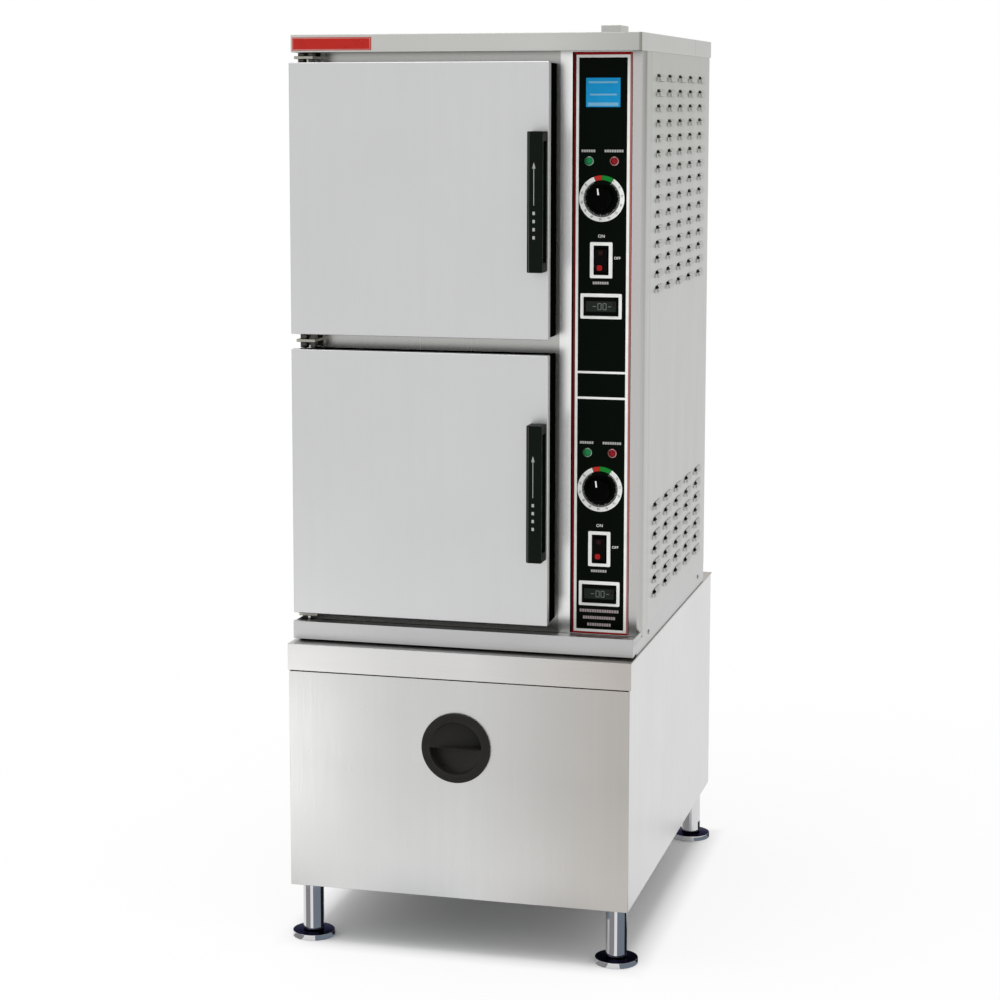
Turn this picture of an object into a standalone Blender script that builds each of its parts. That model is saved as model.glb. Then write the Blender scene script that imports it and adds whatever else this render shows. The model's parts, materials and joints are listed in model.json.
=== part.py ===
"""Two-compartment convection steamer standing on a base cabinet, in metres, +Z up.

The front faces -Y. The origin lies on the floor under the middle of the base.
Panels are folded from sheet, and touching pieces keep the seat gap between them.
"""

import math

import bmesh
import bpy
from mathutils import Matrix, Vector

# Overall
base_width = 0.610
base_depth = 0.838
base_height = 0.434
floor_clearance = 0.103
column_width = 0.153
sheet = 0.002
seat_gap = 0.0003
overrun = 0.004
weld = 0.000001
half_turn = math.pi
round_sides = 24
fine_sides = 32
small_sides = 12
corner_steps = 4
sharp_angle = math.radians(30)

# Cap over the cabinet
cap_setback = 0.047
cap_rear_setback = 0.090
cap_height = 0.030
cap_overhang = 0.055

# Bottom pan with the drip trough in its front sill
sill_lift = 0.004
sill_height = 0.031
sill_proud = 0.020
sill_hem = 0.014
lip_width = 0.010
trough_depth = 0.011
trough_under_frame = 0.012
pan_floor_setback = 0.034
frame_corner_radius = 0.010
frame_wrap = 0.046

# Doors, hung on the left edge
door_height = 0.465
door_proud = 0.012
door_top_gap = 0.017
door_gap = 0.026
door_bottom_gap = 0.013
skin_return = 0.014
skin_edge_radius = 0.0012
gasket_depth = 0.016
gasket_outer_margin = 0.020
gasket_inner_margin = 0.004
liner_margin = 0.024
door_rim_gap = 0.002
door_swing_centre_inset = 0.015
door_swing_centre_depth = 0.030

# Hinge brackets and their pins
pin_radius = 0.004
pin_clearance = 0.0004
pin_engagement = 0.014
pin_end_clearance = 0.001
bracket_thickness = 0.005
bracket_width = 0.034
bracket_side_inset = 0.003
bracket_nose = 0.010
bracket_leaf_thickness = 0.003
bracket_leaf_height = 0.024
bracket_top_gap = 0.006
bracket_bottom_gap = 0.004

# Lift handle with its latch tongue
handle_width = 0.027
handle_height = 0.234
handle_edge_inset = 0.003
handle_proud = 0.036
handle_chamfer = 0.004
handle_side_wall = 0.010
handle_front_wall = 0.008
handle_base = 0.004
handle_end_wall = 0.016
handle_travel = 0.012
tongue_width = 0.008
tongue_height = 0.020
tongue_reach = 0.008
tongue_slide_clearance = 0.0015
tongue_swing_clearance = 0.004

# Cooking cavities
mouth_left_margin = 0.049
mouth_right_margin = 0.048
mouth_top_margin = 0.030
mouth_bottom_margin = 0.060
rear_service_gap = 0.0814
cavity_neck = 0.012
fan_bay = 0.060
cavity_drain_radius = 0.013
cavity_drain_height = 0.022
steam_port_radius = 0.014
steam_port_clearance = 0.001
steam_port_inset = 0.030
steam_port_setback = 0.110

# Steam generator under each cavity
generator_height = 0.044
generator_end_inset = 0.050
spout_rise = 0.006
element_plate_width = 0.120
element_plate_height = 0.030
element_plate_thickness = 0.006
terminal_radius = 0.006
terminal_length = 0.018
terminal_spacing = 0.030
terminal_count = 3

# Pan rack
rack_levels = 5
rack_post_width = 0.014
rack_post_thickness = 0.004
rack_ledge_width = 0.027
rack_ledge_thickness = 0.002
rack_setback = 0.016
rack_rear_gap = 0.030
rack_bar_height = 0.008
rack_top_clearance = 0.006
rack_first_level = 0.050
rack_headroom = 0.053
rack_bar_levels_share = (0.12, 0.88)

# Fan baffle, blower wheel and motor
baffle_rear_gap = 0.030
baffle_tab_width = 0.024
baffle_tab_inset = 0.040
baffle_slot_count = 7
baffle_slot_width = 0.008
baffle_slot_pitch = 0.018
baffle_slot_radius = 0.066
fan_depth_share = 0.5
fan_height_share = 0.5
wheel_radius = 0.085
wheel_width = 0.036
wheel_disc = 0.002
wheel_ring_width = 0.018
wheel_wall_clearance = 0.008
blade_count = 14
blade_inner_radius = 0.060
blade_thickness = 0.002
hub_radius = 0.014
shaft_radius = 0.006
shaft_clearance = 0.0005
shaft_length_in_motor = 0.050
shaft_hole_clearance = 0.004
motor_radius = 0.045
motor_length = 0.084
motor_plate_size = 0.108
motor_plate_thickness = 0.003
motor_cap_radius = 0.034
motor_cap_length = 0.012
motor_bore_end = 0.004

# Side louvres
louvre_length = 0.066
louvre_height = 0.012
louvre_proud = 0.0050
louvre_wall = 0.0012
louvre_pitch = 0.0259
louvre_rear_margin = 0.0544
louvre_first_column = 0.0527
louvre_columns = 5
upper_louvre_rows = 15
lower_louvre_rows = 7
upper_louvre_drop = 0.0647
lower_louvre_rise = 0.0502

# Steam vent through the cap
vent_width = 0.036
vent_depth = 0.080
vent_wall = 0.002
vent_rise = 0.0285
vent_flange = 0.005
vent_flange_thickness = 0.002
vent_side_inset = 0.002
vent_rear_inset = 0.010
vent_hole_clearance = 0.001

# Control column
overlay_width = 0.1025
overlay_thickness = 0.0025
overlay_top_gap = 0.001
overlay_bottom_gap = 0.002
upper_dial_rise = 0.236
lower_dial_rise = 0.231
lamp_rise = 0.063
lamp_spacing = 0.043
rocker_drop = 0.1045
display_drop = 0.183
knob_radius = 0.0240
knob_face_radius = 0.0190
knob_skirt = 0.006
knob_proud = 0.025
knob_edge = 0.002
knob_panel_gap = 0.001
spindle_radius = 0.0032
spindle_clearance = 0.0004
spindle_hole_clearance = 0.0015
spindle_reach = 0.028
timer_size = 0.050
timer_depth = 0.042
lamp_radius = 0.0060
lamp_hole_clearance = 0.0005
lamp_bezel_radius = 0.0082
lamp_bezel_thickness = 0.002
lamp_lens_radius = 0.0050
lamp_lens_rise = 0.003
lamp_barrel_length = 0.022
switch_width = 0.026
switch_height = 0.046
switch_flange = 0.0022
switch_flange_thickness = 0.0015
switch_depth = 0.030
switch_pocket_depth = 0.019
switch_wall = 0.0020
rocker_side_gap = 0.0004
rocker_end_gap = 0.0016
rocker_proud = 0.0030
rocker_dish = 0.0016
rocker_thickness = 0.010
rocker_pivot_depth = 0.0045
axle_radius = 0.0016
axle_clearance = 0.0003
axle_reach = 0.0010
display_width = 0.056
display_height = 0.027
display_flange = 0.0020
display_flange_thickness = 0.0012
display_depth = 0.024

# Base cabinet
rail_height = 0.047
rail_seam = 0.0015
panel_return = 0.014
grip_height = 0.268
grip_radius = 0.061
grip_proud = 0.006
grip_edge = 0.002
grip_cup_radius = 0.050
grip_cup_depth = 0.024
grip_recess_radius = 0.0465
grip_recess_depth = 0.022
grip_web = 0.003
grip_recess_sides = 30
grip_hole_clearance = 0.0010
grip_tongue_length = 0.082
grip_tongue_width = 0.026
grip_tongue_thickness = 0.004

# Legs and levelling feet
leg_side_inset = 0.030
leg_end_inset = 0.042
leg_radius = 0.0185
leg_bottom = 0.014
leg_bore_length = 0.058
stem_radius = 0.0060
stem_clearance = 0.0005
stem_length = 0.050
foot_radius = 0.0375
foot_rim = 0.010
foot_cone_height = 0.012
collar_radius = 0.0130

# Drain pipe behind the cavities
drain_pipe_radius = 0.016
drain_stub_radius = 0.011
drain_rear_gap = 0.020
drain_top_rise = 0.030
drain_low_height = 0.200
drain_hole_clearance = 0.001
drain_bore_radius = 0.012
drain_bore_length = 0.040
drain_outlet_radius = 0.014
drain_side_inset = 0.130

# Places across the width
half_width = base_width / 2
body_half = half_width - sheet - seat_gap
door_left = -half_width
door_right = half_width - column_width
mouth_left = door_left + mouth_left_margin
mouth_right = door_right - mouth_right_margin
cavity_right = mouth_right + fan_bay
column_centre = (door_right + half_width) / 2
handle_right = door_right - handle_edge_inset
handle_left = handle_right - handle_width
tongue_centre = handle_right - handle_width / 2
pivot_x = door_left + door_swing_centre_inset
drain_x = mouth_left + drain_side_inset

# Places from the front to the back
base_front = (grip_proud - base_depth) / 2
base_rear = base_front + base_depth
cap_front = base_front + cap_setback
cap_rear = base_rear - cap_rear_setback
body_rear = cap_rear - sheet - seat_gap
frame_face = cap_front + cap_overhang
frame_rear = frame_face + sheet
door_face = cap_front - door_proud
sill_front = cap_front - sill_proud
pivot_y = door_face + door_swing_centre_depth
gasket_rear = frame_face - seat_gap
gasket_front = gasket_rear - gasket_depth
liner_rear = gasket_front - seat_gap
liner_front = liner_rear - sheet
core_front = door_face + sheet + seat_gap
core_rear = liner_front - seat_gap
rim_rear = frame_face - door_rim_gap
cavity_front = frame_rear + seat_gap
cavity_wall = cavity_front + cavity_neck
cavity_rear = body_rear - rear_service_gap
fan_y = cavity_front + (cavity_rear - cavity_front) * fan_depth_share
overlay_rear = frame_face - seat_gap
overlay_face = overlay_rear - overlay_thickness
drain_y = cavity_rear + drain_rear_gap + drain_pipe_radius
wrap_rear = frame_face + frame_wrap
wall_front = wrap_rear + seat_gap
wall_rear = body_rear - sheet - seat_gap
flange_front = frame_face + frame_corner_radius + sheet + seat_gap

# Places from the floor up
base_top = floor_clearance + base_height
pan_floor = base_top + seat_gap
sill_bottom = base_top + sill_lift
sill_top = sill_bottom + sill_height
trough_floor = sill_top - trough_depth
wall_bottom = sill_top + seat_gap
lower_door_bottom = sill_top + door_bottom_gap
upper_door_bottom = lower_door_bottom + door_height + door_gap
cap_bottom = upper_door_bottom + door_height + door_top_gap
cabinet_top = cap_bottom + cap_height
roof = cabinet_top - sheet - seat_gap
mouth_height = door_height - mouth_top_margin - mouth_bottom_margin
grip_z = floor_clearance + grip_height

compartments = {
    "upper": {"door": upper_door_bottom, "dial": upper_door_bottom + upper_dial_rise},
    "lower": {"door": lower_door_bottom, "dial": lower_door_bottom + lower_dial_rise},
}


def clear_scene():
    for item in list(bpy.data.objects):
        bpy.data.objects.remove(item, do_unlink=True)


def mesh_object(bm):
    """An unnamed working object from a bmesh, its faces turned outwards."""
    bmesh.ops.remove_doubles(bm, verts=bm.verts, dist=weld)
    bmesh.ops.recalc_face_normals(bm, faces=bm.faces)
    mesh = bpy.data.meshes.new("shape")
    bm.to_mesh(mesh)
    bm.free()
    item = bpy.data.objects.new("shape", mesh)
    bpy.context.scene.collection.objects.link(item)
    return item


def block(low, high):
    """A box between two opposite corners."""
    bm = bmesh.new()
    bmesh.ops.create_cube(bm, size=1)
    size = Vector(high) - Vector(low)
    middle = (Vector(high) + Vector(low)) / 2
    shape = Matrix.Translation(middle) @ Matrix.Diagonal((*size, 1))
    bmesh.ops.transform(bm, matrix=shape, verts=bm.verts)
    return mesh_object(bm)


def on_axis(axis, along, first, second):
    """A point from its place along the axis and its places on the other two, in X, Y, Z order."""
    point = [first, second]
    point.insert("XYZ".index(axis), along)
    return Vector(point)


def prism(outline, axis, start, end):
    """A closed outline, in the two other axes, carried from start to end along the axis."""
    bm = bmesh.new()
    corners = [bm.verts.new(on_axis(axis, start, *point)) for point in outline]
    face = bm.faces.new(corners)
    grown = bmesh.ops.extrude_face_region(bm, geom=[face])["geom"]
    moved = [item for item in grown if isinstance(item, bmesh.types.BMVert)]
    bmesh.ops.translate(bm, verts=moved, vec=on_axis(axis, end - start, 0, 0))
    return mesh_object(bm)


def turned(profile, axis, centre, sides=round_sides):
    """A profile of (radius, place along the axis) turned round the axis through the centre."""
    bm = bmesh.new()
    points = [bm.verts.new(on_axis(axis, along, radius, 0)) for radius, along in profile]
    edges = []
    for pair, ends in zip(zip(points, points[1:]), zip(profile, profile[1:])):
        if ends[0][0] or ends[1][0]:
            edges.append(bm.edges.new(pair))
    turning = on_axis(axis, 1, 0, 0)
    bmesh.ops.spin(
        bm, geom=points + edges, cent=(0, 0, 0), axis=turning, angle=2 * half_turn, steps=sides
    )
    bmesh.ops.translate(bm, verts=bm.verts, vec=on_axis(axis, 0, *centre))
    return mesh_object(bm)


def cylinder(radius, axis, start, end, centre, sides=round_sides):
    return turned([(0, start), (radius, start), (radius, end), (0, end)], axis, centre, sides)


def folded(line, thickness):
    """The outline of a bent sheet: the line is one face and the sheet lies to its right."""
    ways = [(Vector(b) - Vector(a)).normalized() for a, b in zip(line, line[1:])]
    sides = [Vector((way.y, -way.x)) for way in ways]
    inner = []
    for point, before, after in zip(line, [sides[0], *sides], [*sides, sides[-1]]):
        inner.append(Vector(point) + (before + after) / (1 + before.dot(after)) * thickness)
    return [*line, *reversed(inner)]


def arc(centre, radius, start, end, steps=corner_steps):
    """Points on an arc from the start angle to the end angle, both ends included."""
    turns = [start + (end - start) * step / steps for step in range(steps + 1)]
    return [(centre[0] + radius * math.cos(t), centre[1] + radius * math.sin(t)) for t in turns]


def combine(base, others, operation):
    """Applies a Boolean of the base with each of the others, which are used up."""
    for other in others:
        modifier = base.modifiers.new(operation, "BOOLEAN")
        modifier.operation = operation
        modifier.solver = "EXACT"
        modifier.object = other
    graph = bpy.context.evaluated_depsgraph_get()
    shape = bpy.data.meshes.new_from_object(base.evaluated_get(graph))
    base.modifiers.clear()
    base.data = shape
    for other in others:
        bpy.data.objects.remove(other, do_unlink=True)
    return base


def joined(*shapes):
    return combine(shapes[0], shapes[1:], "UNION")


def cut(base, *cutters):
    return combine(base, cutters, "DIFFERENCE")


def gathered(shapes):
    """Separate shapes that don't touch, as one working object."""
    bm = bmesh.new()
    for shape in shapes:
        bm.from_mesh(shape.data)
        bpy.data.objects.remove(shape, do_unlink=True)
    return mesh_object(bm)


def finish(name, colour, roughness, metallic):
    material = bpy.data.materials.get(name)
    if material is None:
        material = bpy.data.materials.new(name)
        material.use_nodes = True
        shader = material.node_tree.nodes["Principled BSDF"]
        shader.inputs["Base Color"].default_value = (*colour, 1)
        shader.inputs["Roughness"].default_value = roughness
        shader.inputs["Metallic"].default_value = metallic
    return material


def stainless():
    return finish("stainless", (0.60, 0.60, 0.59), 0.38, 1.0)


def inner_steel():
    return finish("inner_steel", (0.52, 0.53, 0.54), 0.45, 1.0)


def polished_steel():
    return finish("polished_steel", (0.58, 0.60, 0.63), 0.16, 1.0)


def black_plastic():
    return finish("black_plastic", (0.018, 0.019, 0.019), 0.42, 0.0)


def edge_plastic():
    return finish("edge_plastic", (0.012, 0.012, 0.011), 0.6, 0.0)


def gasket_rubber():
    return finish("gasket_rubber", (0.03, 0.03, 0.032), 0.75, 0.0)


def overlay_film():
    return finish("overlay_film", (0.008, 0.009, 0.008), 0.3, 0.0)


def motor_paint():
    return finish("motor_paint", (0.06, 0.07, 0.08), 0.5, 0.0)


def display_glass():
    return finish("display_glass", (0.05, 0.05, 0.05), 0.15, 0.0)


def green_lens():
    return finish("green_lens", (0.02, 0.32, 0.12), 0.2, 0.0)


def red_lens():
    return finish("red_lens", (0.45, 0.02, 0.03), 0.2, 0.0)


def place(shape, name, material, origin, parent=None, smooth=False):
    """Names a finished shape, with its origin at a point of the object, and hangs it on its parent."""
    shape.name = name
    shape.data.name = name
    shape.data.transform(Matrix.Translation(-Vector(origin)))
    shape.data.materials.clear()
    shape.data.materials.append(material)
    if smooth:
        shape.data.shade_smooth()
        shape.data.set_sharp_from_angle(angle=sharp_angle)
    if parent:
        shape.parent = parent
        shape.location = Vector(origin) - parent.matrix_world.translation
    else:
        shape.location = origin
    return shape


def joint_empty(name, origin, parent=None):
    """An empty on a joint's axis, which carries the pieces that move there."""
    empty = bpy.data.objects.new(name, None)
    bpy.context.scene.collection.objects.link(empty)
    if parent:
        empty.parent = parent
        empty.location = Vector(origin) - parent.matrix_world.translation
    else:
        empty.location = origin
    bpy.context.view_layer.update()
    return empty


def mouth_bottom(door_bottom):
    return door_bottom + mouth_bottom_margin


def grown_mouth(door_bottom, margin, front, rear):
    """The box of a compartment's mouth, widened by a margin on each side."""
    low = mouth_bottom(door_bottom)
    return block(
        (mouth_left - margin, front, low - margin),
        (mouth_right + margin, rear, low + mouth_height + margin),
    )


def make_base_shell():
    shell = block(
        (-body_half, base_front + sheet + seat_gap, floor_clearance),
        (body_half, base_rear, base_top - sheet - seat_gap),
    )
    room = block(
        (-body_half + sheet, base_front - overrun, floor_clearance + sheet),
        (body_half - sheet, base_rear - sheet, base_top + overrun),
    )
    drain_hole = cylinder(
        drain_outlet_radius + drain_hole_clearance,
        "Y",
        base_rear - sheet - overrun,
        base_rear + overrun,
        (drain_x, drain_low_height),
    )
    place(cut(shell, room, drain_hole), "base_shell", stainless(), (0, 0, floor_clearance))


def make_base_top():
    line = [
        (base_front, base_top - rail_height),
        (base_front, base_top),
        (base_rear, base_top),
    ]
    lid = prism(folded(line, sheet), "X", -half_width, half_width)
    place(cut(lid, pipe_hole(base_top)), "base_top", stainless(), (0, 0, base_top))


def pipe_hole(height):
    """The cutter that lets the drain pipe through a level sheet."""
    reach = sheet + overrun
    radius = drain_pipe_radius + drain_hole_clearance
    return cylinder(radius, "Z", height - reach, height + reach, (drain_x, drain_y))


def make_base_front():
    low = floor_clearance
    high = base_top - rail_height - rail_seam
    inside = body_half - sheet - seat_gap
    face = block((-body_half, base_front, low), (body_half, base_front + sheet, high))
    tray = block(
        (-inside, base_front + sheet / 2, low + sheet + seat_gap),
        (inside, base_front + panel_return, high),
    )
    hollow = block(
        (-inside + sheet, base_front + sheet, low + sheet * 2 + seat_gap),
        (inside - sheet, base_front + panel_return + overrun, high - sheet),
    )
    hole = cylinder(
        grip_cup_radius + grip_hole_clearance,
        "Y",
        base_front - overrun,
        base_front + sheet + overrun,
        (0, grip_z),
        fine_sides,
    )
    slide = joint_empty("base_panel_slide", (0, base_front, grip_z))
    panel = cut(joined(face, cut(tray, hollow)), hole)
    place(panel, "base_front_panel", stainless(), (0, base_front, grip_z), slide)
    make_turn_grip(slide)


def make_turn_grip(slide):
    front = base_front - grip_proud
    back = base_front - seat_gap
    cup_rear = base_front + grip_cup_depth
    profile = [
        (0, front),
        (grip_radius - grip_edge, front),
        (grip_radius, front + grip_edge),
        (grip_radius, back),
        (grip_cup_radius, back),
        (grip_cup_radius, cup_rear),
        (0, cup_rear),
    ]
    disc = turned(profile, "Y", (0, grip_z), fine_sides)
    tongue = block(
        (0, cup_rear - grip_tongue_thickness, grip_z - grip_tongue_width / 2),
        (grip_tongue_length, cup_rear + grip_tongue_thickness, grip_z + grip_tongue_width / 2),
    )
    pockets = [grip_pocket(front, side) for side in (-1, 1)]
    grip = cut(joined(disc, tongue), *pockets)
    place(grip, "turn_grip", black_plastic(), (0, base_front, grip_z), slide, smooth=True)


def grip_pocket(front, side):
    """The cutter of one half of the grip's face, a ramp that deepens to one side."""
    reach = grip_recess_radius + overrun
    ramp_outline = [
        (-side * reach, front),
        (side * reach, front + grip_recess_depth),
        (side * reach, front - overrun),
        (-side * reach, front - overrun),
    ]
    ramp = prism(ramp_outline, "Z", *sorted((grip_z + side * grip_web / 2, grip_z + side * reach)))
    outline = cylinder(
        grip_recess_radius,
        "Y",
        front - overrun * 2,
        front + grip_recess_depth + overrun,
        (0, grip_z),
        grip_recess_sides,
    )
    return combine(ramp, [outline], "INTERSECT")


def make_legs():
    for side, x in (("left", -half_width + leg_side_inset), ("right", half_width - leg_side_inset)):
        for end, y in (("front", base_front + leg_end_inset), ("rear", base_rear - leg_end_inset)):
            make_leg(f"{end}_{side}", x, y)


def make_leg(where, x, y):
    top = floor_clearance - seat_gap
    bore = stem_radius + stem_clearance
    tube = [
        (bore, leg_bottom),
        (leg_radius, leg_bottom),
        (leg_radius, top),
        (0, top),
        (0, leg_bottom + leg_bore_length),
        (bore, leg_bottom + leg_bore_length),
        (bore, leg_bottom),
    ]
    leg = turned(tube, "Z", (x, y))
    place(leg, f"leg_{where}", polished_steel(), (x, y, leg_bottom), smooth=True)
    seat = leg_bottom - seat_gap
    profile = [
        (0, 0),
        (foot_radius, 0),
        (foot_radius, foot_rim),
        (collar_radius, foot_cone_height),
        (collar_radius, seat),
        (stem_radius, seat),
        (stem_radius, seat + stem_length),
        (0, seat + stem_length),
    ]
    slide = joint_empty(f"foot_slide_{where}", (x, y, 0))
    foot = turned(profile, "Z", (x, y))
    place(foot, f"foot_{where}", polished_steel(), (x, y, 0), slide, smooth=True)


def make_bottom_pan():
    channel_line = [
        (sill_front + sill_hem, sill_bottom),
        (sill_front, sill_bottom),
        (sill_front, sill_top),
        (sill_front + lip_width, sill_top),
        (sill_front + lip_width, trough_floor),
        (frame_rear + trough_under_frame, trough_floor),
    ]
    channel = prism(folded(channel_line, sheet), "X", -body_half, body_half)
    front = sill_front + pan_floor_setback
    nose = sill_front + sheet / 2
    side_outline = [
        (nose, sill_bottom + sheet / 2),
        (front, sill_bottom + sheet / 2),
        (front, pan_floor),
        (body_rear, pan_floor),
        (body_rear, sill_top),
        (flange_front, sill_top),
        (flange_front, trough_floor - sheet / 2),
        (frame_face - seat_gap, trough_floor - sheet / 2),
        (frame_face - seat_gap, sill_top - sheet / 2),
        (nose, sill_top - sheet / 2),
    ]
    outer = body_half - seat_gap
    left = prism(side_outline, "X", -outer, sheet - outer)
    right = prism(side_outline, "X", outer - sheet, outer)
    inner = outer - sheet / 2
    floor = block(
        (-inner, front + sheet / 2, pan_floor + seat_gap),
        (inner, body_rear - sheet / 2, pan_floor + seat_gap + sheet),
    )
    rear = block(
        (-inner, body_rear - seat_gap - sheet, pan_floor + sheet / 2),
        (inner, body_rear - seat_gap, sill_top - seat_gap),
    )
    pan = joined(floor, rear, left, right, channel)
    place(cut(pan, pipe_hole(pan_floor)), "bottom_pan", stainless(), (0, 0, base_top))


def make_front_frame():
    r = frame_corner_radius
    plan = [
        (body_half, wrap_rear),
        *arc((body_half - r, frame_face + r), r, 0, -half_turn / 2),
        *arc((r - body_half, frame_face + r), r, -half_turn / 2, -half_turn),
        (-body_half, wrap_rear),
    ]
    frame = prism(folded(plan, sheet), "Z", trough_floor + seat_gap, roof)
    front = frame_face - overrun
    rear = frame_rear + overrun
    cutters = [
        block(
            (-half_width - overrun, flange_front - seat_gap, trough_floor - overrun),
            (half_width + overrun, wrap_rear + overrun, wall_bottom),
        )
    ]
    for spot in compartments.values():
        cutters.append(grown_mouth(spot["door"], 0, front, rear))
        cutters.append(tongue_slot(spot["door"], tongue_swing_clearance, front, rear))
        cutters.extend(control_holes(spot["dial"], front, rear))
    place(cut(frame, *cutters), "front_frame", stainless(), (0, frame_face, trough_floor), smooth=True)


def tongue_slot(door_bottom, clearance, front, rear):
    """The cutter for the slot that the latch tongue lies and rises in."""
    middle = door_bottom + door_height / 2
    side = tongue_width / 2 + clearance
    end = tongue_height / 2 + tongue_slide_clearance
    return block(
        (tongue_centre - side, front, middle - end),
        (tongue_centre + side, rear, middle + end + handle_travel),
    )


def control_holes(dial, front, rear):
    """The cutters for one compartment's spindle, lamps, switch and display."""
    holes = [
        round_hole(spindle_radius + spindle_hole_clearance, column_centre, dial, front, rear)
    ]
    for side in (-1, 1):
        x = column_centre + side * lamp_spacing / 2
        radius = lamp_radius + lamp_hole_clearance
        holes.append(round_hole(radius, x, dial + lamp_rise, front, rear))
    switch = dial - rocker_drop
    display = dial - display_drop
    holes.append(window(switch_width, switch_height, switch, front, rear, seat_gap))
    holes.append(window(display_width, display_height, display, front, rear, seat_gap))
    return holes


def round_hole(radius, x, z, front, rear):
    return cylinder(radius, "Y", front, rear, (x, z), small_sides)


def window(width, height, centre, front, rear, gap):
    """A box on the column's middle line, grown by a gap all round."""
    return block(
        (column_centre - width / 2 - gap, front, centre - height / 2 - gap),
        (column_centre + width / 2 + gap, rear, centre + height / 2 + gap),
    )


def make_walls():
    left = block((-body_half, wall_front, wall_bottom), (sheet - body_half, wall_rear, roof))
    place(left, "left_side_panel", stainless(), (-body_half, 0, wall_bottom))
    right = block((body_half - sheet, wall_front, wall_bottom), (body_half, wall_rear, roof))
    place(louvred(right), "right_side_panel", stainless(), (body_half, 0, wall_bottom))
    back = block((-body_half, body_rear - sheet, wall_bottom), (body_half, body_rear, roof))
    place(back, "rear_panel", stainless(), (0, body_rear, wall_bottom))


def louvred(panel):
    """The panel with its two groups of hooded slots, each open below."""
    first = wall_front + louvre_first_column
    last = wall_rear - louvre_rear_margin - louvre_length
    column_pitch = (last - first) / (louvre_columns - 1)
    tops = [roof - upper_louvre_drop - louvre_pitch * row for row in range(upper_louvre_rows)]
    low_top = wall_bottom + lower_louvre_rise + louvre_pitch * (lower_louvre_rows - 1)
    tops += [low_top - louvre_pitch * row for row in range(lower_louvre_rows)]
    starts = [first + column_pitch * column for column in range(louvre_columns)]
    places = [(start, top) for start in starts for top in tops]
    hoods = gathered([louvre_hood(start, top) for start, top in places])
    slots = gathered([louvre_slot(start, top) for start, top in places])
    return cut(joined(panel, hoods), slots)


def louvre_hood(start, top):
    outline = [
        (body_half - sheet / 2, top),
        (body_half, top),
        (body_half + louvre_proud, top - louvre_height),
        (body_half - sheet / 2, top - louvre_height),
    ]
    return prism(outline, "Y", start, start + louvre_length)


def louvre_slot(start, top):
    low = top - louvre_height
    outline = [
        (body_half - sheet - overrun, top - louvre_wall * 2),
        (body_half, top - louvre_wall * 2),
        (body_half + louvre_proud - louvre_wall, low),
        (body_half + louvre_proud - louvre_wall, low - louvre_wall),
        (body_half + louvre_wall, low - louvre_wall),
        (body_half, low),
        (body_half - sheet - overrun, low),
    ]
    return prism(outline, "Y", start + louvre_wall, start + louvre_length - louvre_wall)


def vent_box(margin, low, high):
    """A box on the steam vent's middle line, grown by a margin all round."""
    x = cavity_right - vent_side_inset - vent_width / 2
    y = cavity_rear - vent_rear_inset - vent_depth / 2
    return block(
        (x - vent_width / 2 - margin, y - vent_depth / 2 - margin, low),
        (x + vent_width / 2 + margin, y + vent_depth / 2 + margin, high),
    )


def make_cap():
    shell = block((-half_width, cap_front, cap_bottom), (half_width, cap_rear, cabinet_top))
    room = block(
        (sheet - half_width, cap_front + sheet, cap_bottom - overrun),
        (half_width - sheet, cap_rear - sheet, cabinet_top - sheet),
    )
    hole = vent_box(vent_hole_clearance, cap_bottom, cabinet_top + overrun)
    place(cut(shell, room, hole), "top_cap", stainless(), (0, cap_front, cabinet_top))


def make_vent():
    cavity_roof = mouth_bottom(upper_door_bottom) + mouth_height + sheet
    low = cavity_roof + seat_gap
    high = cabinet_top + vent_rise
    flange_low = cabinet_top + seat_gap
    flange = vent_box(vent_flange, flange_low, flange_low + vent_flange_thickness)
    duct = joined(vent_box(0, low, high), flange)
    bore = vent_box(-vent_wall, low - overrun, high + overrun)
    x = cavity_right - vent_side_inset - vent_width / 2
    place(cut(duct, bore), "steam_vent", stainless(), (x, cavity_rear - vent_rear_inset, cabinet_top))


def make_cavity(name, door_bottom):
    low = mouth_bottom(door_bottom)
    high = low + mouth_height
    shell = block(
        (mouth_left - sheet, cavity_wall, low - sheet),
        (cavity_right + sheet, cavity_rear, high + sheet),
    )
    neck = grown_mouth(door_bottom, sheet, cavity_front, cavity_wall + sheet / 2)
    room = block((mouth_left, cavity_wall + sheet, low), (cavity_right, cavity_rear - sheet, high))
    mouth = grown_mouth(door_bottom, 0, cavity_front - overrun, cavity_wall + sheet + overrun)
    shaft_hole = cylinder(
        shaft_radius + shaft_hole_clearance,
        "X",
        cavity_right - overrun,
        cavity_right + sheet + overrun,
        (fan_y, low + mouth_height * fan_height_share),
        small_sides,
    )
    drain = cylinder(
        cavity_drain_radius,
        "Y",
        cavity_rear - sheet - overrun,
        cavity_rear + overrun,
        (drain_x, low + cavity_drain_height),
        small_sides,
    )
    cutters = [room, mouth, shaft_hole, drain]
    port = steam_port_radius + steam_port_clearance
    cutters.append(cylinder(port, "Z", low - sheet - overrun, low + overrun, steam_port()))
    if name == "upper":
        cutters.append(vent_box(-vent_wall, high - overrun, high + sheet + overrun))
    shell = cut(joined(shell, neck), *cutters)
    place(shell, f"{name}_cavity", inner_steel(), (mouth_left, cavity_front, low))


def steam_port():
    return (cavity_right - steam_port_inset, cavity_front + steam_port_setback)


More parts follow.
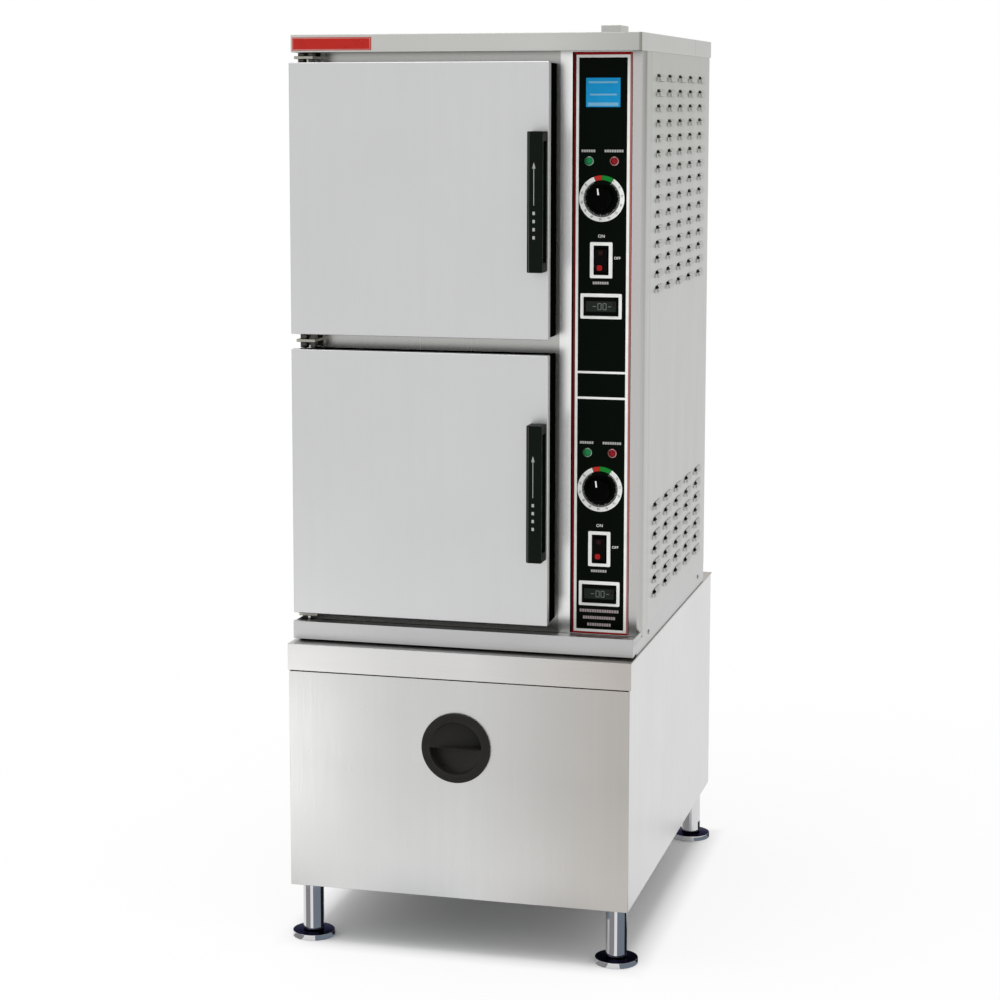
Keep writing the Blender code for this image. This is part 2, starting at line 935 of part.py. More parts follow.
def make_generator(name, door_bottom):
    top = mouth_bottom(door_bottom) - sheet - seat_gap
    low = top - generator_height
    front = cavity_front + generator_end_inset
    rear = cavity_rear - generator_end_inset
    spout_top = mouth_bottom(door_bottom) + spout_rise
    tank = block((mouth_left, front, low), (cavity_right, rear, top))
    spout = cylinder(steam_port_radius, "Z", top - sheet / 2, spout_top, steam_port())
    middle = (front + rear) / 2
    height = (low + top) / 2
    plate = block(
        (cavity_right - sheet / 2, middle - element_plate_width / 2, height - element_plate_height / 2),
        (
            cavity_right + element_plate_thickness,
            middle + element_plate_width / 2,
            height + element_plate_height / 2,
        ),
    )
    terminals = []
    for number in range(terminal_count):
        y = middle + (number - (terminal_count - 1) / 2) * terminal_spacing
        end = cavity_right + element_plate_thickness + terminal_length
        start = cavity_right + element_plate_thickness / 2
        terminals.append(cylinder(terminal_radius, "X", start, end, (y, height), small_sides))
    room = block(
        (mouth_left + sheet, front + sheet, low + sheet),
        (cavity_right - sheet, rear - sheet, top - sheet),
    )
    bore = cylinder(
        steam_port_radius - sheet, "Z", top - sheet - overrun, spout_top + overrun, steam_port()
    )
    tank = cut(joined(tank, spout, plate, *terminals), room, bore)
    place(tank, f"{name}_steam_generator", inner_steel(), (mouth_left, front, low))


def make_rack(name, door_bottom):
    low = mouth_bottom(door_bottom) + seat_gap
    high = low + mouth_height - rack_top_clearance
    left = mouth_left + seat_gap
    right = mouth_right - seat_gap
    front = cavity_wall + sheet + rack_setback
    rear = cavity_rear - rack_rear_gap
    parts = []
    for x in (left, right - rack_post_thickness):
        for y in (front, rear - rack_post_width):
            post = block((x, y, low), (x + rack_post_thickness, y + rack_post_width, high))
            parts.append(post)
    level_pitch = (mouth_height - rack_first_level - rack_headroom) / (rack_levels - 1)
    for level in range(rack_levels):
        z = low + rack_first_level + level_pitch * level
        ledges = (left + seat_gap, right - seat_gap - rack_ledge_width)
        for x in ledges:
            parts.append(
                block(
                    (x, front + seat_gap, z),
                    (x + rack_ledge_width, rear - seat_gap, z + rack_ledge_thickness),
                )
            )
    for share in rack_bar_levels_share:
        z = low + (high - low) * share
        bar = block(
            (left + sheet, rear - rack_post_width + seat_gap, z),
            (right - sheet, rear - rack_post_width + seat_gap + rack_post_thickness, z + rack_bar_height),
        )
        parts.append(bar)
    place(joined(*parts), f"{name}_pan_rack", polished_steel(), (left, front, low))


def make_baffle(name, door_bottom):
    low = mouth_bottom(door_bottom) + seat_gap
    high = low + mouth_height - seat_gap * 2
    left = mouth_right
    front = cavity_wall + sheet + seat_gap
    rear = cavity_rear - sheet - baffle_rear_gap
    plate = block((left, front, low), (left + sheet, rear, high))
    tabs = []
    for y in (front + baffle_tab_inset, rear - baffle_tab_inset):
        for z in (low, high - sheet):
            tabs.append(
                block(
                    (left + sheet / 2, y - baffle_tab_width / 2, z),
                    (cavity_right - seat_gap, y + baffle_tab_width / 2, z + sheet),
                )
            )
    slots = []
    centre = mouth_bottom(door_bottom) + mouth_height * fan_height_share
    for number in range(baffle_slot_count):
        offset = (number - (baffle_slot_count - 1) / 2) * baffle_slot_pitch
        reach = math.sqrt(baffle_slot_radius**2 - offset**2)
        slots.append(
            block(
                (left - overrun, fan_y + offset - baffle_slot_width / 2, centre - reach),
                (left + sheet + overrun, fan_y + offset + baffle_slot_width / 2, centre + reach),
            )
        )
    place(cut(joined(plate, *tabs), *slots), f"{name}_fan_baffle", inner_steel(), (left, front, low))


def make_blower(name, door_bottom):
    z = mouth_bottom(door_bottom) + mouth_height * fan_height_share
    right = cavity_right - wheel_wall_clearance
    left = right - wheel_width
    ring_inner = wheel_radius - wheel_ring_width
    ring_profile = [
        (ring_inner, left),
        (wheel_radius, left),
        (wheel_radius, left + wheel_disc),
        (ring_inner, left + wheel_disc),
        (ring_inner, left),
    ]
    ring = turned(ring_profile, "X", (fan_y, z))
    motor_face = cavity_right + sheet + seat_gap
    shaft_end = motor_face + shaft_length_in_motor
    disc_profile = [
        (0, left + wheel_disc),
        (hub_radius, left + wheel_disc),
        (hub_radius, right - wheel_disc),
        (wheel_radius, right - wheel_disc),
        (wheel_radius, right),
        (shaft_radius, right),
        (shaft_radius, shaft_end),
        (0, shaft_end),
    ]
    disc = turned(disc_profile, "X", (fan_y, z))
    blades = []
    for number in range(blade_count):
        blade = block(
            (left + wheel_disc / 2, -blade_thickness / 2, blade_inner_radius),
            (right - wheel_disc / 2, blade_thickness / 2, wheel_radius - blade_thickness),
        )
        turn = Matrix.Rotation(2 * half_turn * (number + 1 / 2) / blade_count, 4, "X")
        blade.data.transform(Matrix.Translation((0, fan_y, z)) @ turn)
        blades.append(blade)
    wheel = joined(disc, gathered(blades), ring)
    axis = joint_empty(f"{name}_blower_axis", (right, fan_y, z))
    place(wheel, f"{name}_blower_wheel", inner_steel(), (right, fan_y, z), axis, smooth=True)
    make_motor(name, motor_face, z)


def make_motor(name, face, z):
    half = motor_plate_size / 2
    end = face + motor_length
    plate = block(
        (face, fan_y - half, z - half), (face + motor_plate_thickness, fan_y + half, z + half)
    )
    profile = [
        (0, face + motor_plate_thickness / 2),
        (motor_radius, face + motor_plate_thickness / 2),
        (motor_radius, end - motor_cap_length),
        (motor_cap_radius, end),
        (0, end),
    ]
    can = turned(profile, "X", (fan_y, z))
    bore = cylinder(
        shaft_radius + shaft_clearance,
        "X",
        face - overrun,
        face + shaft_length_in_motor + motor_bore_end,
        (fan_y, z),
        small_sides,
    )
    motor = cut(joined(plate, can), bore)
    place(motor, f"{name}_fan_motor", motor_paint(), (face, fan_y, z), smooth=True)


def make_door(name, door_bottom):
    top = door_bottom + door_height
    hinge = joint_empty(f"{name}_door_hinge", (pivot_x, pivot_y, door_bottom))
    origin = (pivot_x, pivot_y, door_bottom)
    skin = block((door_left, door_face, door_bottom), (door_right, door_face + skin_return, top))
    softened(skin, skin_edge_radius)
    room = block(
        (door_left + sheet, door_face + sheet, door_bottom + sheet),
        (door_right - sheet, door_face + skin_return + overrun, top - sheet),
    )
    slot = tongue_slot(door_bottom, tongue_slide_clearance, door_face - overrun, core_front + overrun)
    place(cut(skin, room, slot), f"{name}_door_skin", stainless(), origin, hinge)
    inset = sheet + seat_gap
    core = block(
        (door_left + inset, core_front, door_bottom + inset),
        (door_right - inset, rim_rear, top - inset),
    )
    liner_room = grown_mouth(door_bottom, liner_margin + seat_gap, core_rear, rim_rear + overrun)
    hinge_room = block(
        (door_left - overrun, core_rear, door_bottom - overrun),
        (mouth_left - liner_margin, rim_rear + overrun, top + overrun),
    )
    bore = pin_radius + pin_clearance
    depth = pin_engagement + pin_end_clearance
    bores = [
        cylinder(bore, "Z", start, end, (pivot_x, pivot_y), small_sides)
        for start, end in ((door_bottom, door_bottom + depth), (top - depth, top))
    ]
    slot = tongue_slot(door_bottom, tongue_slide_clearance, core_front - overrun, rim_rear + overrun)
    place(cut(core, liner_room, hinge_room, slot, *bores), f"{name}_door_core", edge_plastic(), origin, hinge)
    liner = grown_mouth(door_bottom, liner_margin, liner_front, liner_rear)
    place(liner, f"{name}_door_liner", inner_steel(), origin, hinge)
    ring = grown_mouth(door_bottom, gasket_outer_margin, gasket_front, gasket_rear)
    middle = grown_mouth(
        door_bottom, gasket_inner_margin, gasket_front - overrun, gasket_rear + overrun
    )
    place(cut(ring, middle), f"{name}_door_gasket", gasket_rubber(), origin, hinge)
    make_handle(name, door_bottom, hinge)


def softened(shape, width):
    """Rounds the shape's edges with one facet."""
    bevel = shape.modifiers.new("edges", "BEVEL")
    bevel.width = width
    bevel.segments = 1
    combine(shape, (), "UNION")


def make_handle(name, door_bottom, hinge):
    middle = door_bottom + door_height / 2
    low = middle - handle_height / 2
    high = middle + handle_height / 2
    front = door_face - handle_proud
    back = door_face - seat_gap
    outline = [
        (handle_left, back),
        (handle_left, front + handle_chamfer),
        (handle_left + handle_chamfer, front),
        (handle_right, front),
        (handle_right, back),
    ]
    grip = prism(outline, "Z", low, high)
    tongue = block(
        (tongue_centre - tongue_width / 2, back - handle_base / 2, middle - tongue_height / 2),
        (tongue_centre + tongue_width / 2, frame_rear + tongue_reach, middle + tongue_height / 2),
    )
    pocket = block(
        (handle_left + handle_side_wall, front + handle_front_wall, low + handle_end_wall),
        (handle_right + overrun, back - handle_base, high - handle_end_wall),
    )
    lift = joint_empty(f"{name}_handle_lift", (tongue_centre, door_face, middle), hinge)
    handle = joined(cut(grip, pocket), tongue)
    origin = (tongue_centre, door_face, middle)
    place(handle, f"{name}_handle", black_plastic(), origin, lift)


def make_hinges():
    upper_top = upper_door_bottom + door_height
    lower_top = lower_door_bottom + door_height
    top_arm = upper_top + bracket_top_gap
    make_bracket("top_hinge", top_arm, top_arm, (upper_top - pin_engagement, top_arm))
    middle = (upper_door_bottom + lower_top - bracket_thickness) / 2
    pin = (lower_top - pin_engagement, upper_door_bottom + pin_engagement)
    make_bracket("middle_hinge", middle, middle - (bracket_leaf_height - bracket_thickness) / 2, pin)
    low_arm = sill_top + bracket_bottom_gap
    pin = (low_arm, lower_door_bottom + pin_engagement)
    make_bracket("bottom_hinge", low_arm, low_arm, pin, bracket_thickness)


def make_bracket(name, arm_low, leaf_low, pin_span, leaf_height=bracket_leaf_height):
    """An arm from the frame out over or under a door, with its pin and the leaf on the frame."""
    left = bracket_side_inset - half_width
    right = left + bracket_width
    rear = frame_face - seat_gap
    arm = block(
        (left, pivot_y - bracket_nose, arm_low), (right, rear, arm_low + bracket_thickness)
    )
    leaf = block(
        (left, rear - bracket_leaf_thickness, leaf_low), (right, rear, leaf_low + leaf_height)
    )
    low, high = pin_span
    if low == arm_low:
        low += bracket_thickness / 2
    if high == arm_low:
        high += bracket_thickness / 2
    pin = cylinder(pin_radius, "Z", low, high, (pivot_x, pivot_y), small_sides)
    place(joined(arm, leaf, pin), name, polished_steel(), (pivot_x, pivot_y, arm_low))


def make_overlay():
    rear = overlay_rear
    front = overlay_face
    overlay = block(
        (column_centre - overlay_width / 2, front, trough_floor + overlay_bottom_gap),
        (column_centre + overlay_width / 2, rear, cap_bottom - overlay_top_gap),
    )
    holes = []
    for spot in compartments.values():
        holes.extend(control_holes(spot["dial"], front - overrun, rear + overrun))
    origin = (column_centre, rear, trough_floor + overlay_bottom_gap)
    place(cut(overlay, *holes), "control_overlay", overlay_film(), origin)


def make_timer(name, dial):
    face = frame_rear + seat_gap
    body = window(timer_size, timer_size, dial, face, face + timer_depth, 0)
    bore = cylinder(
        spindle_radius + spindle_clearance,
        "Y",
        face - overrun,
        face + spindle_reach + pin_end_clearance,
        (column_centre, dial),
        small_sides,
    )
    place(cut(body, bore), f"{name}_timer", black_plastic(), (column_centre, face, dial))
    back = overlay_face - knob_panel_gap
    front = overlay_face - knob_proud
    profile = [
        (0, front),
        (knob_face_radius - knob_edge, front),
        (knob_face_radius, front + knob_edge),
        (knob_face_radius, back - knob_skirt),
        (knob_radius, back - knob_edge),
        (knob_radius, back),
        (spindle_radius, back),
        (spindle_radius, face + spindle_reach),
        (0, face + spindle_reach),
    ]
    knob = turned(profile, "Y", (column_centre, dial), fine_sides)
    axis = joint_empty(f"{name}_timer_axis", (column_centre, overlay_face, dial))
    origin = (column_centre, overlay_face, dial)
    place(knob, f"{name}_timer_knob", black_plastic(), origin, axis, smooth=True)


def make_lamp(name, x, z, lens):
    face = overlay_face - seat_gap
    front = face - lamp_bezel_thickness
    profile = [
        (0, front - lamp_lens_rise),
        (lamp_lens_radius / 2, front - lamp_lens_rise * 3 / 4),
        (lamp_lens_radius, front),
        (lamp_bezel_radius, front),
        (lamp_bezel_radius, face),
        (lamp_radius, face),
        (lamp_radius, face + lamp_barrel_length),
        (0, face + lamp_barrel_length),
    ]
    lamp = turned(profile, "Y", (x, z), small_sides)
    place(lamp, name, lens, (x, face, z), smooth=True)


def make_switch(name, dial):
    z = dial - rocker_drop
    face = overlay_face - seat_gap
    front = face - switch_flange_thickness
    flange = window(switch_width, switch_height, z, front, face, switch_flange)
    body = window(switch_width, switch_height, z, front + sheet / 4, face + switch_depth, 0)
    pocket_width = switch_width - switch_wall * 2
    pocket_height = switch_height - switch_wall * 2
    floor = front + switch_pocket_depth
    pocket = window(pocket_width, pocket_height, z, front - overrun, floor, 0)
    pivot = front + rocker_pivot_depth
    half = pocket_width / 2
    bores = cylinder(
        axle_radius + axle_clearance,
        "X",
        column_centre - half - axle_reach - axle_clearance,
        column_centre + half + axle_reach + axle_clearance,
        (pivot, z),
        small_sides,
    )
    housing = cut(joined(body, flange), pocket, bores)
    place(housing, f"{name}_switch_body", black_plastic(), (column_centre, face, z))
    top = pocket_height / 2 - rocker_end_gap
    outline = [
        (front - rocker_proud, z + top),
        (front - rocker_proud + rocker_dish, z),
        (front - rocker_proud, z - top),
        (front - rocker_proud + rocker_thickness, z - top),
        (front - rocker_proud + rocker_thickness, z + top),
    ]
    width = half - rocker_side_gap
    paddle = prism(outline, "X", column_centre - width, column_centre + width)
    axle = cylinder(
        axle_radius,
        "X",
        column_centre - half - axle_reach,
        column_centre + half + axle_reach,
        (pivot, z),
        small_sides,
    )
    tilt = joint_empty(f"{name}_rocker_axis", (column_centre, pivot, z))
    rocker = joined(paddle, axle)
    place(rocker, f"{name}_rocker", black_plastic(), (column_centre, pivot, z), tilt)


def make_display(name, dial):
    z = dial - display_drop
    face = overlay_face - seat_gap
    front = face - display_flange_thickness
    flange = window(display_width, display_height, z, front, face, display_flange)
    body = window(display_width, display_height, z, front + sheet / 4, face + display_depth, 0)
    place(joined(flange, body), f"{name}_display", display_glass(), (column_centre, face, z))


def make_drain():
    lows = [mouth_bottom(spot["door"]) + cavity_drain_height for spot in compartments.values()]
    centre = (drain_x, drain_y)
    low_end = drain_low_height - drain_pipe_radius - sheet
    pipe = cylinder(drain_pipe_radius, "Z", low_end, max(lows) + drain_top_rise, centre)
    stubs = [
        cylinder(
            drain_stub_radius, "Y", cavity_rear + seat_gap, drain_y, (drain_x, low), small_sides
        )
        for low in lows
    ]
    outlet = cylinder(drain_outlet_radius, "Y", drain_y, base_rear, (drain_x, drain_low_height))
    bore = cylinder(
        drain_bore_radius,
        "Y",
        base_rear - drain_bore_length,
        base_rear + overrun,
        (drain_x, drain_low_height),
    )
    manifold = cut(joined(pipe, outlet, *stubs), bore)
    origin = (drain_x, drain_y, drain_low_height)
    place(manifold, "drain_pipe", polished_steel(), origin, smooth=True)


def main():
    clear_scene()
    make_base_shell()
    make_base_top()
    make_base_front()
    make_legs()
    make_bottom_pan()
    make_front_frame()
    make_walls()
    make_cap()
    make_vent()
    for name, spot in compartments.items():
        make_cavity(name, spot["door"])
        make_generator(name, spot["door"])
        make_rack(name, spot["door"])
        make_baffle(name, spot["door"])
        make_blower(name, spot["door"])
        make_door(name, spot["door"])
        make_timer(name, spot["dial"])
        lamp_z = spot["dial"] + lamp_rise
        make_lamp(f"{name}_ready_lamp", column_centre - lamp_spacing / 2, lamp_z, green_lens())
        make_lamp(f"{name}_cooking_lamp", column_centre + lamp_spacing / 2, lamp_z, red_lens())
        make_switch(name, spot["dial"])
        make_display(name, spot["dial"])
    make_hinges()
    make_overlay()
    make_drain()


main()
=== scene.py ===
import json
import math

import bmesh
import bpy
from mathutils import Matrix, Vector
from mathutils.bvhtree import BVHTree

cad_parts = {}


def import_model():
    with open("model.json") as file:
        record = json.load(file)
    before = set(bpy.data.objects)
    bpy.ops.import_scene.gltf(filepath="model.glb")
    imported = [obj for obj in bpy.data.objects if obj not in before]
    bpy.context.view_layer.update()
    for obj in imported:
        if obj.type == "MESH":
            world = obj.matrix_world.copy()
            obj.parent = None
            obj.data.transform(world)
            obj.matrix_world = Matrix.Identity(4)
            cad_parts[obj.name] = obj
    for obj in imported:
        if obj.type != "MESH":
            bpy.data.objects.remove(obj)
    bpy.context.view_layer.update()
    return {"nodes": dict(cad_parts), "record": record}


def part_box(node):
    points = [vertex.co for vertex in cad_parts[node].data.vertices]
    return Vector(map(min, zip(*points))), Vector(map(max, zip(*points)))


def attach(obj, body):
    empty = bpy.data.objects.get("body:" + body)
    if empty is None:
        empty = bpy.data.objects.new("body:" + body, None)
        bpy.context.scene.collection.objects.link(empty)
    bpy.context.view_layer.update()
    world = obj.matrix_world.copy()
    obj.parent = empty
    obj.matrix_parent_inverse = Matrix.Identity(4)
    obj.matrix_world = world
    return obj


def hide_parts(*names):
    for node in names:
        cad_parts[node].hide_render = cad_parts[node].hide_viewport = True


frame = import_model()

body_of = {node: body for body, nodes in frame["record"]["behaviour"]["bodies"].items() for node in nodes}
pivot_of = {joint["name"]: joint.get("pos_m") for joint in frame["record"]["behaviour"]["joints"]}

# Places on the object, in metres: the middle of the control column, the height of each timer's dial,
# how far the display lies below the dial, and how thick a printed layer is
COLUMN_X, OVERLAY_Y, _ = pivot_of["upper_timer_turn"]
DIALS = {where: pivot_of[f"{where}_timer_turn"][2] for where in ("upper", "lower")}
DISPLAY_DROP = 0.1824
PRINT = 0.00018
TURN = 2 * math.pi


# Materials
def feed(tree, value, socket):
    """Links a socket to a node's output, or sets its number, place or colour."""
    if isinstance(value, bpy.types.NodeSocket):
        tree.links.new(value, socket)
    else:
        socket.default_value = (*value, 1) if socket.type == "RGBA" else value


def added(tree, kind, values):
    """A new node with what its named inputs get."""
    node = tree.nodes.new(kind)
    for socket, value in values.items():
        feed(tree, value, node.inputs[socket])
    return node


def principled(name, colour, roughness, metallic=0.0, specular=0.5):
    """A new material, with its node tree and its shader."""
    material = bpy.data.materials.new(name)
    material.use_nodes = True
    tree = material.node_tree
    shader = tree.nodes["Principled BSDF"]
    values = {"Base Color": colour, "Roughness": roughness, "Metallic": metallic}
    values["Specular IOR Level"] = specular
    for socket, value in values.items():
        feed(tree, value, shader.inputs[socket])
    return material, tree, shader


def calculated(tree, operation, *values):
    """The result of a Math node."""
    node = tree.nodes.new("ShaderNodeMath")
    node.operation = operation
    for value, socket in zip(values, node.inputs):
        feed(tree, value, socket)
    return node.outputs[0]


def blended(tree, factor, first, second):
    """A number between two, by a value from 0 to 1."""
    return added(tree, "ShaderNodeMix", {"Factor": factor, "A": first, "B": second}).outputs["Result"]


def emission(tree, colour):
    """A plain light of its own."""
    return added(tree, "ShaderNodeEmission", {"Color": colour}).outputs[0]


def axes(tree, output="Object"):
    """The X, Y and Z of a point in object space, or of a direction in the world."""
    coordinates = tree.nodes.new("ShaderNodeTexCoord").outputs[output]
    return added(tree, "ShaderNodeSeparateXYZ", {"Vector": coordinates}).outputs


def rays(tree):
    """Whether a ray comes straight from the camera, and whether from a mirror or through glass."""
    path = tree.nodes.new("ShaderNodeLightPath").outputs
    mirrored = calculated(tree, "MAXIMUM", path["Is Glossy Ray"], path["Is Transmission Ray"])
    return path["Is Camera Ray"], mirrored


def noise(tree, stretch, detail=3.0, roughness=0.5):
    """Noise in object space, stretched by a scale for each axis."""
    coordinates = tree.nodes.new("ShaderNodeTexCoord").outputs["Object"]
    stretched = added(tree, "ShaderNodeMapping", {"Vector": coordinates, "Scale": stretch}).outputs["Vector"]
    values = {"Vector": stretched, "Scale": 1, "Detail": detail, "Roughness": roughness}
    return added(tree, "ShaderNodeTexNoise", values).outputs["Fac"]


def spread(tree, value, low, high, start=0.3, end=0.7):
    """Maps a noise's middle range to low...high."""
    values = {"Value": value, "From Min": start, "From Max": end, "To Min": low, "To Max": high}
    return added(tree, "ShaderNodeMapRange", values).outputs["Result"]


def between(tree, value, first, second, blend="MIX"):
    """A colour between two, by a value from 0 to 1."""
    node = tree.nodes.new("ShaderNodeMix")
    node.data_type = "RGBA"
    node.blend_type = blend
    factor, a, b, result = node.inputs[0], node.inputs[6], node.inputs[7], node.outputs[2]
    feed(tree, value, factor)
    feed(tree, first, a)
    feed(tree, second, b)
    return result


def bump(tree, shader, height, strength, distance):
    """Fine relief from a noise; the distance is in metres."""
    node = added(tree, "ShaderNodeBump", {"Height": height, "Strength": strength, "Distance": distance})
    tree.links.new(node.outputs["Normal"], shader.inputs["Normal"])


def scaled(colour, factor):
    """A darker or brighter colour."""
    return tuple(min(1.0, channel * factor) for channel in colour)


def edges(tree, low=0.51, high=0.56):
    """How far a point lies on an outer edge, from 0 to 1."""
    geometry = tree.nodes.new("ShaderNodeNewGeometry")
    return spread(tree, geometry.outputs["Pointiness"], 0.0, 1.0, low, high)


def within(tree, **limits):
    """1 inside the limits of each axis in object space and 0 outside.
    A third value is half the width of the limits' soft edge."""
    parts = axes(tree)
    result = None
    for axis, (low, high, *soft) in limits.items():
        half = soft[0] if soft else 0.001
        for edge, side in ((low, half), (high, -half)):
            value = spread(tree, parts[axis], 0, 1, edge - side, edge + side)
            result = value if result is None else calculated(tree, "MULTIPLY", result, value)
    return result


def steel(name, colour, roughness, grain="Z", depth=0.05, mottle=0.03, wear=0.06, relief=0.045, painted_shades=()):
    """Brushed stainless: long fine scratches along one axis, soft mottling, brighter worn edges.
    A painted shade is a tint and the limits of the place it darkens, standing in for shade and dim
    reflections."""
    material, tree, shader = principled(name, colour, roughness, metallic=1.0)
    fine = [9 if axis == grain else 900 for axis in "XYZ"]
    broad = [1.2 if axis == grain else 60 for axis in "XYZ"]
    scratches = noise(tree, fine, detail=4.0, roughness=0.65)
    bands = noise(tree, broad, detail=2.0)
    clouds = noise(tree, (5, 5, 5))
    darker, brighter = scaled(colour, 1 - mottle), scaled(colour, 1 + mottle)
    tone = between(tree, spread(tree, clouds, 0, 1), darker, brighter)
    streaked = between(tree, spread(tree, bands, 0, 0.35), tone, scaled(colour, 1 - 2 * mottle))
    worn = between(tree, spread(tree, edges(tree), 0, wear, 0, 1), streaked, (0.9, 0.9, 0.9))
    # Painted shade: each tint darkens its place to stand in for shade and dim reflections
    for tint, limits in painted_shades:
        worn = between(tree, within(tree, **limits), worn, tint, "MULTIPLY")
    tree.links.new(worn, shader.inputs["Base Color"])
    tree.links.new(spread(tree, scratches, roughness - depth, roughness + depth), shader.inputs["Roughness"])
    bump(tree, shader, scratches, relief, 0.0004)
    return material


def plastic(name, colour, roughness, specular=0.3, grain=1400, strength=0.08, wear=0.12):
    """Moulded plastic with a fine spark-eroded texture, faint handling marks and lighter edges."""
    material, tree, shader = principled(name, colour, roughness, specular=specular)
    texture = noise(tree, (grain, grain, grain), detail=2.0)
    marks = noise(tree, (30, 30, 70), detail=4.0)
    tone = between(tree, spread(tree, marks, 0, 1), scaled(colour, 0.88), scaled(colour, 1.12))
    lighter = tuple(channel * 0.6 + 0.08 for channel in colour)
    worn = between(tree, spread(tree, edges(tree), 0, wear, 0, 1), tone, lighter)
    tree.links.new(worn, shader.inputs["Base Color"])
    tree.links.new(spread(tree, marks, roughness - 0.06, roughness + 0.06), shader.inputs["Roughness"])
    bump(tree, shader, texture, strength, 0.0003)
    return material


def film(name, colour, roughness=0.4, specular=0.1, glow=None, strength=0.08):
    """A smooth printed or moulded surface with faint smudges."""
    material, tree, shader = principled(name, colour, roughness, specular=specular)
    smudges = noise(tree, (40, 40, 55), detail=4.0, roughness=0.6)
    tone = between(tree, spread(tree, smudges, 0, 1), scaled(colour, 0.94), scaled(colour, 1.06))
    tree.links.new(tone, shader.inputs["Base Color"])
    tree.links.new(spread(tree, smudges, roughness - 0.07, roughness + 0.07), shader.inputs["Roughness"])
    bump(tree, shader, noise(tree, (420, 420, 420), detail=1.0), 0.03, 0.0002)
    if glow:
        shader.inputs["Emission Color"].default_value = (*glow, 1)
        shader.inputs["Emission Strength"].default_value = strength
    return material


# Painted shade and painted reflections: the tints below darken the steel where shade and dim reflections fall
# Where the photograph shows steel darker, as limits along the axes in metres
BEHIND_DOORS = {"X": (-0.31, 0.156)}
RIGHT_STRIP = {"X": (0.280, 0.32)}
UPPER_SIDE = {"Z": (1.42, 2.0, 0.12)}
FRONT_EDGE_SHADE = {"Y": (-0.40, -0.270, 0.014)}
CAP_RIGHT = {"X": (0.24, 0.40, 0.09), "Y": (-0.38, -0.365)}
CAP_CORNER = {"X": (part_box("top_cap")[1][0] - 0.0045, 0.33), "Y": (-0.38, -0.3665)}
VENT_FRONT = {"Y": [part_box("steam_vent")[0][1] + side for side in (-0.002, 0.002)]}
TROUGH = {"X": (-0.31, 0.158), "Y": (-0.384, -0.29)}
FRONT_RIGHT = {"X": (0.155, 0.50, 0.13)}
FRONT_UPPER = {"Z": (0.24, 0.80, 0.08)}
# Painted shade on the control column: darker behind the doors and on its right strip
column_painted_shades = ((0.56, 0.56, 0.545), BEHIND_DOORS), ((0.58, 0.573, 0.567), RIGHT_STRIP)
# Painted shade on the side and rear panels: darker at the top and towards the front edge
side_painted_shades = ((0.91, 0.915, 0.89), UPPER_SIDE), ((0.80, 0.80, 0.80), FRONT_EDGE_SHADE)
# Painted shade on the cap: darker towards the right end of its front, on the vent's front face, and in a dark
# line at its right corner
cap_painted_shades = ((0.83, 0.83, 0.82), CAP_RIGHT), ((0.74, 0.75, 0.68), VENT_FRONT)
cap_painted_shades += (((0.62, 0.62, 0.59), CAP_CORNER),)
# Painted reflections on the base's front panel and apron: darker and warmer towards the right; the panel is
# also darker above its bottom strip
front_painted_shades = ((0.775, 0.735, 0.695), FRONT_RIGHT), ((0.88, 0.88, 0.88), FRONT_UPPER)
apron_painted_shades = (((0.74, 0.70, 0.66), FRONT_RIGHT),)
# Painted shade: the trough under the doors is nearly black
trough_painted_shades = (((0.018, 0.016, 0.012), TROUGH),)
# Painted shade on the frame's sideways flanges: darker at the top
wrap_painted_shades = (((0.93, 0.93, 0.91), UPPER_SIDE),)

door_steel = steel("door_steel", (0.605, 0.607, 0.609), 0.40, mottle=0.015)
# Painted light: the column's steel is brighter than the rest, to offset the shade and dark reflections of the
# doors beside it
column_steel = steel(
    "column_steel", (0.86, 0.86, 0.85), 0.26, depth=0.015, mottle=0.012, relief=0.012, painted_shades=column_painted_shades
)
# A darker copy of the steel for the frame's sideways faces: painted shade by the way they face
wrap_shaded_steel = steel("wrap_shaded_steel", (0.465, 0.47, 0.445), 0.34, painted_shades=wrap_painted_shades)
side_steel = steel("side_steel", (0.535, 0.54, 0.515), 0.40, painted_shades=side_painted_shades)
cap_steel = steel("cap_steel", (0.525, 0.527, 0.500), 0.36, grain="X", painted_shades=cap_painted_shades)
sill_steel = steel("sill_steel", (0.47, 0.47, 0.47), 0.34, grain="X")
shaded_trough_steel = steel("shaded_trough_steel", (0.46, 0.465, 0.45), 0.3, grain="X", painted_shades=trough_painted_shades)
front_steel = steel("front_steel", (0.645, 0.645, 0.64), 0.32, painted_shades=front_painted_shades)
apron_steel = steel("apron_steel", (0.64, 0.635, 0.63), 0.32, grain="X", painted_shades=apron_painted_shades)
base_steel = steel("base_steel", (0.68, 0.68, 0.68), 0.36)
# Painted shade: a darker steel for the base's underside and inside
underside_shade_steel = steel("underside_shade_steel", (0.32, 0.32, 0.32), 0.5, grain="X")
inner_steel = steel("inner_steel", (0.50, 0.51, 0.52), 0.45, mottle=0.05)
rack_steel = steel("rack_steel", (0.55, 0.56, 0.58), 0.28)
hinge_steel = steel("hinge_steel", (0.36, 0.35, 0.30), 0.35, depth=0.04)
# Near-black steel: painted shade on the hinge leaves, and the colour of the black collars and stops
hinge_black_and_shade = steel("hinge_black_and_shade", (0.020, 0.018, 0.010), 0.35, depth=0.04)
leg_steel = steel("leg_steel", (0.66, 0.66, 0.67), 0.06, depth=0.02, mottle=0.02)
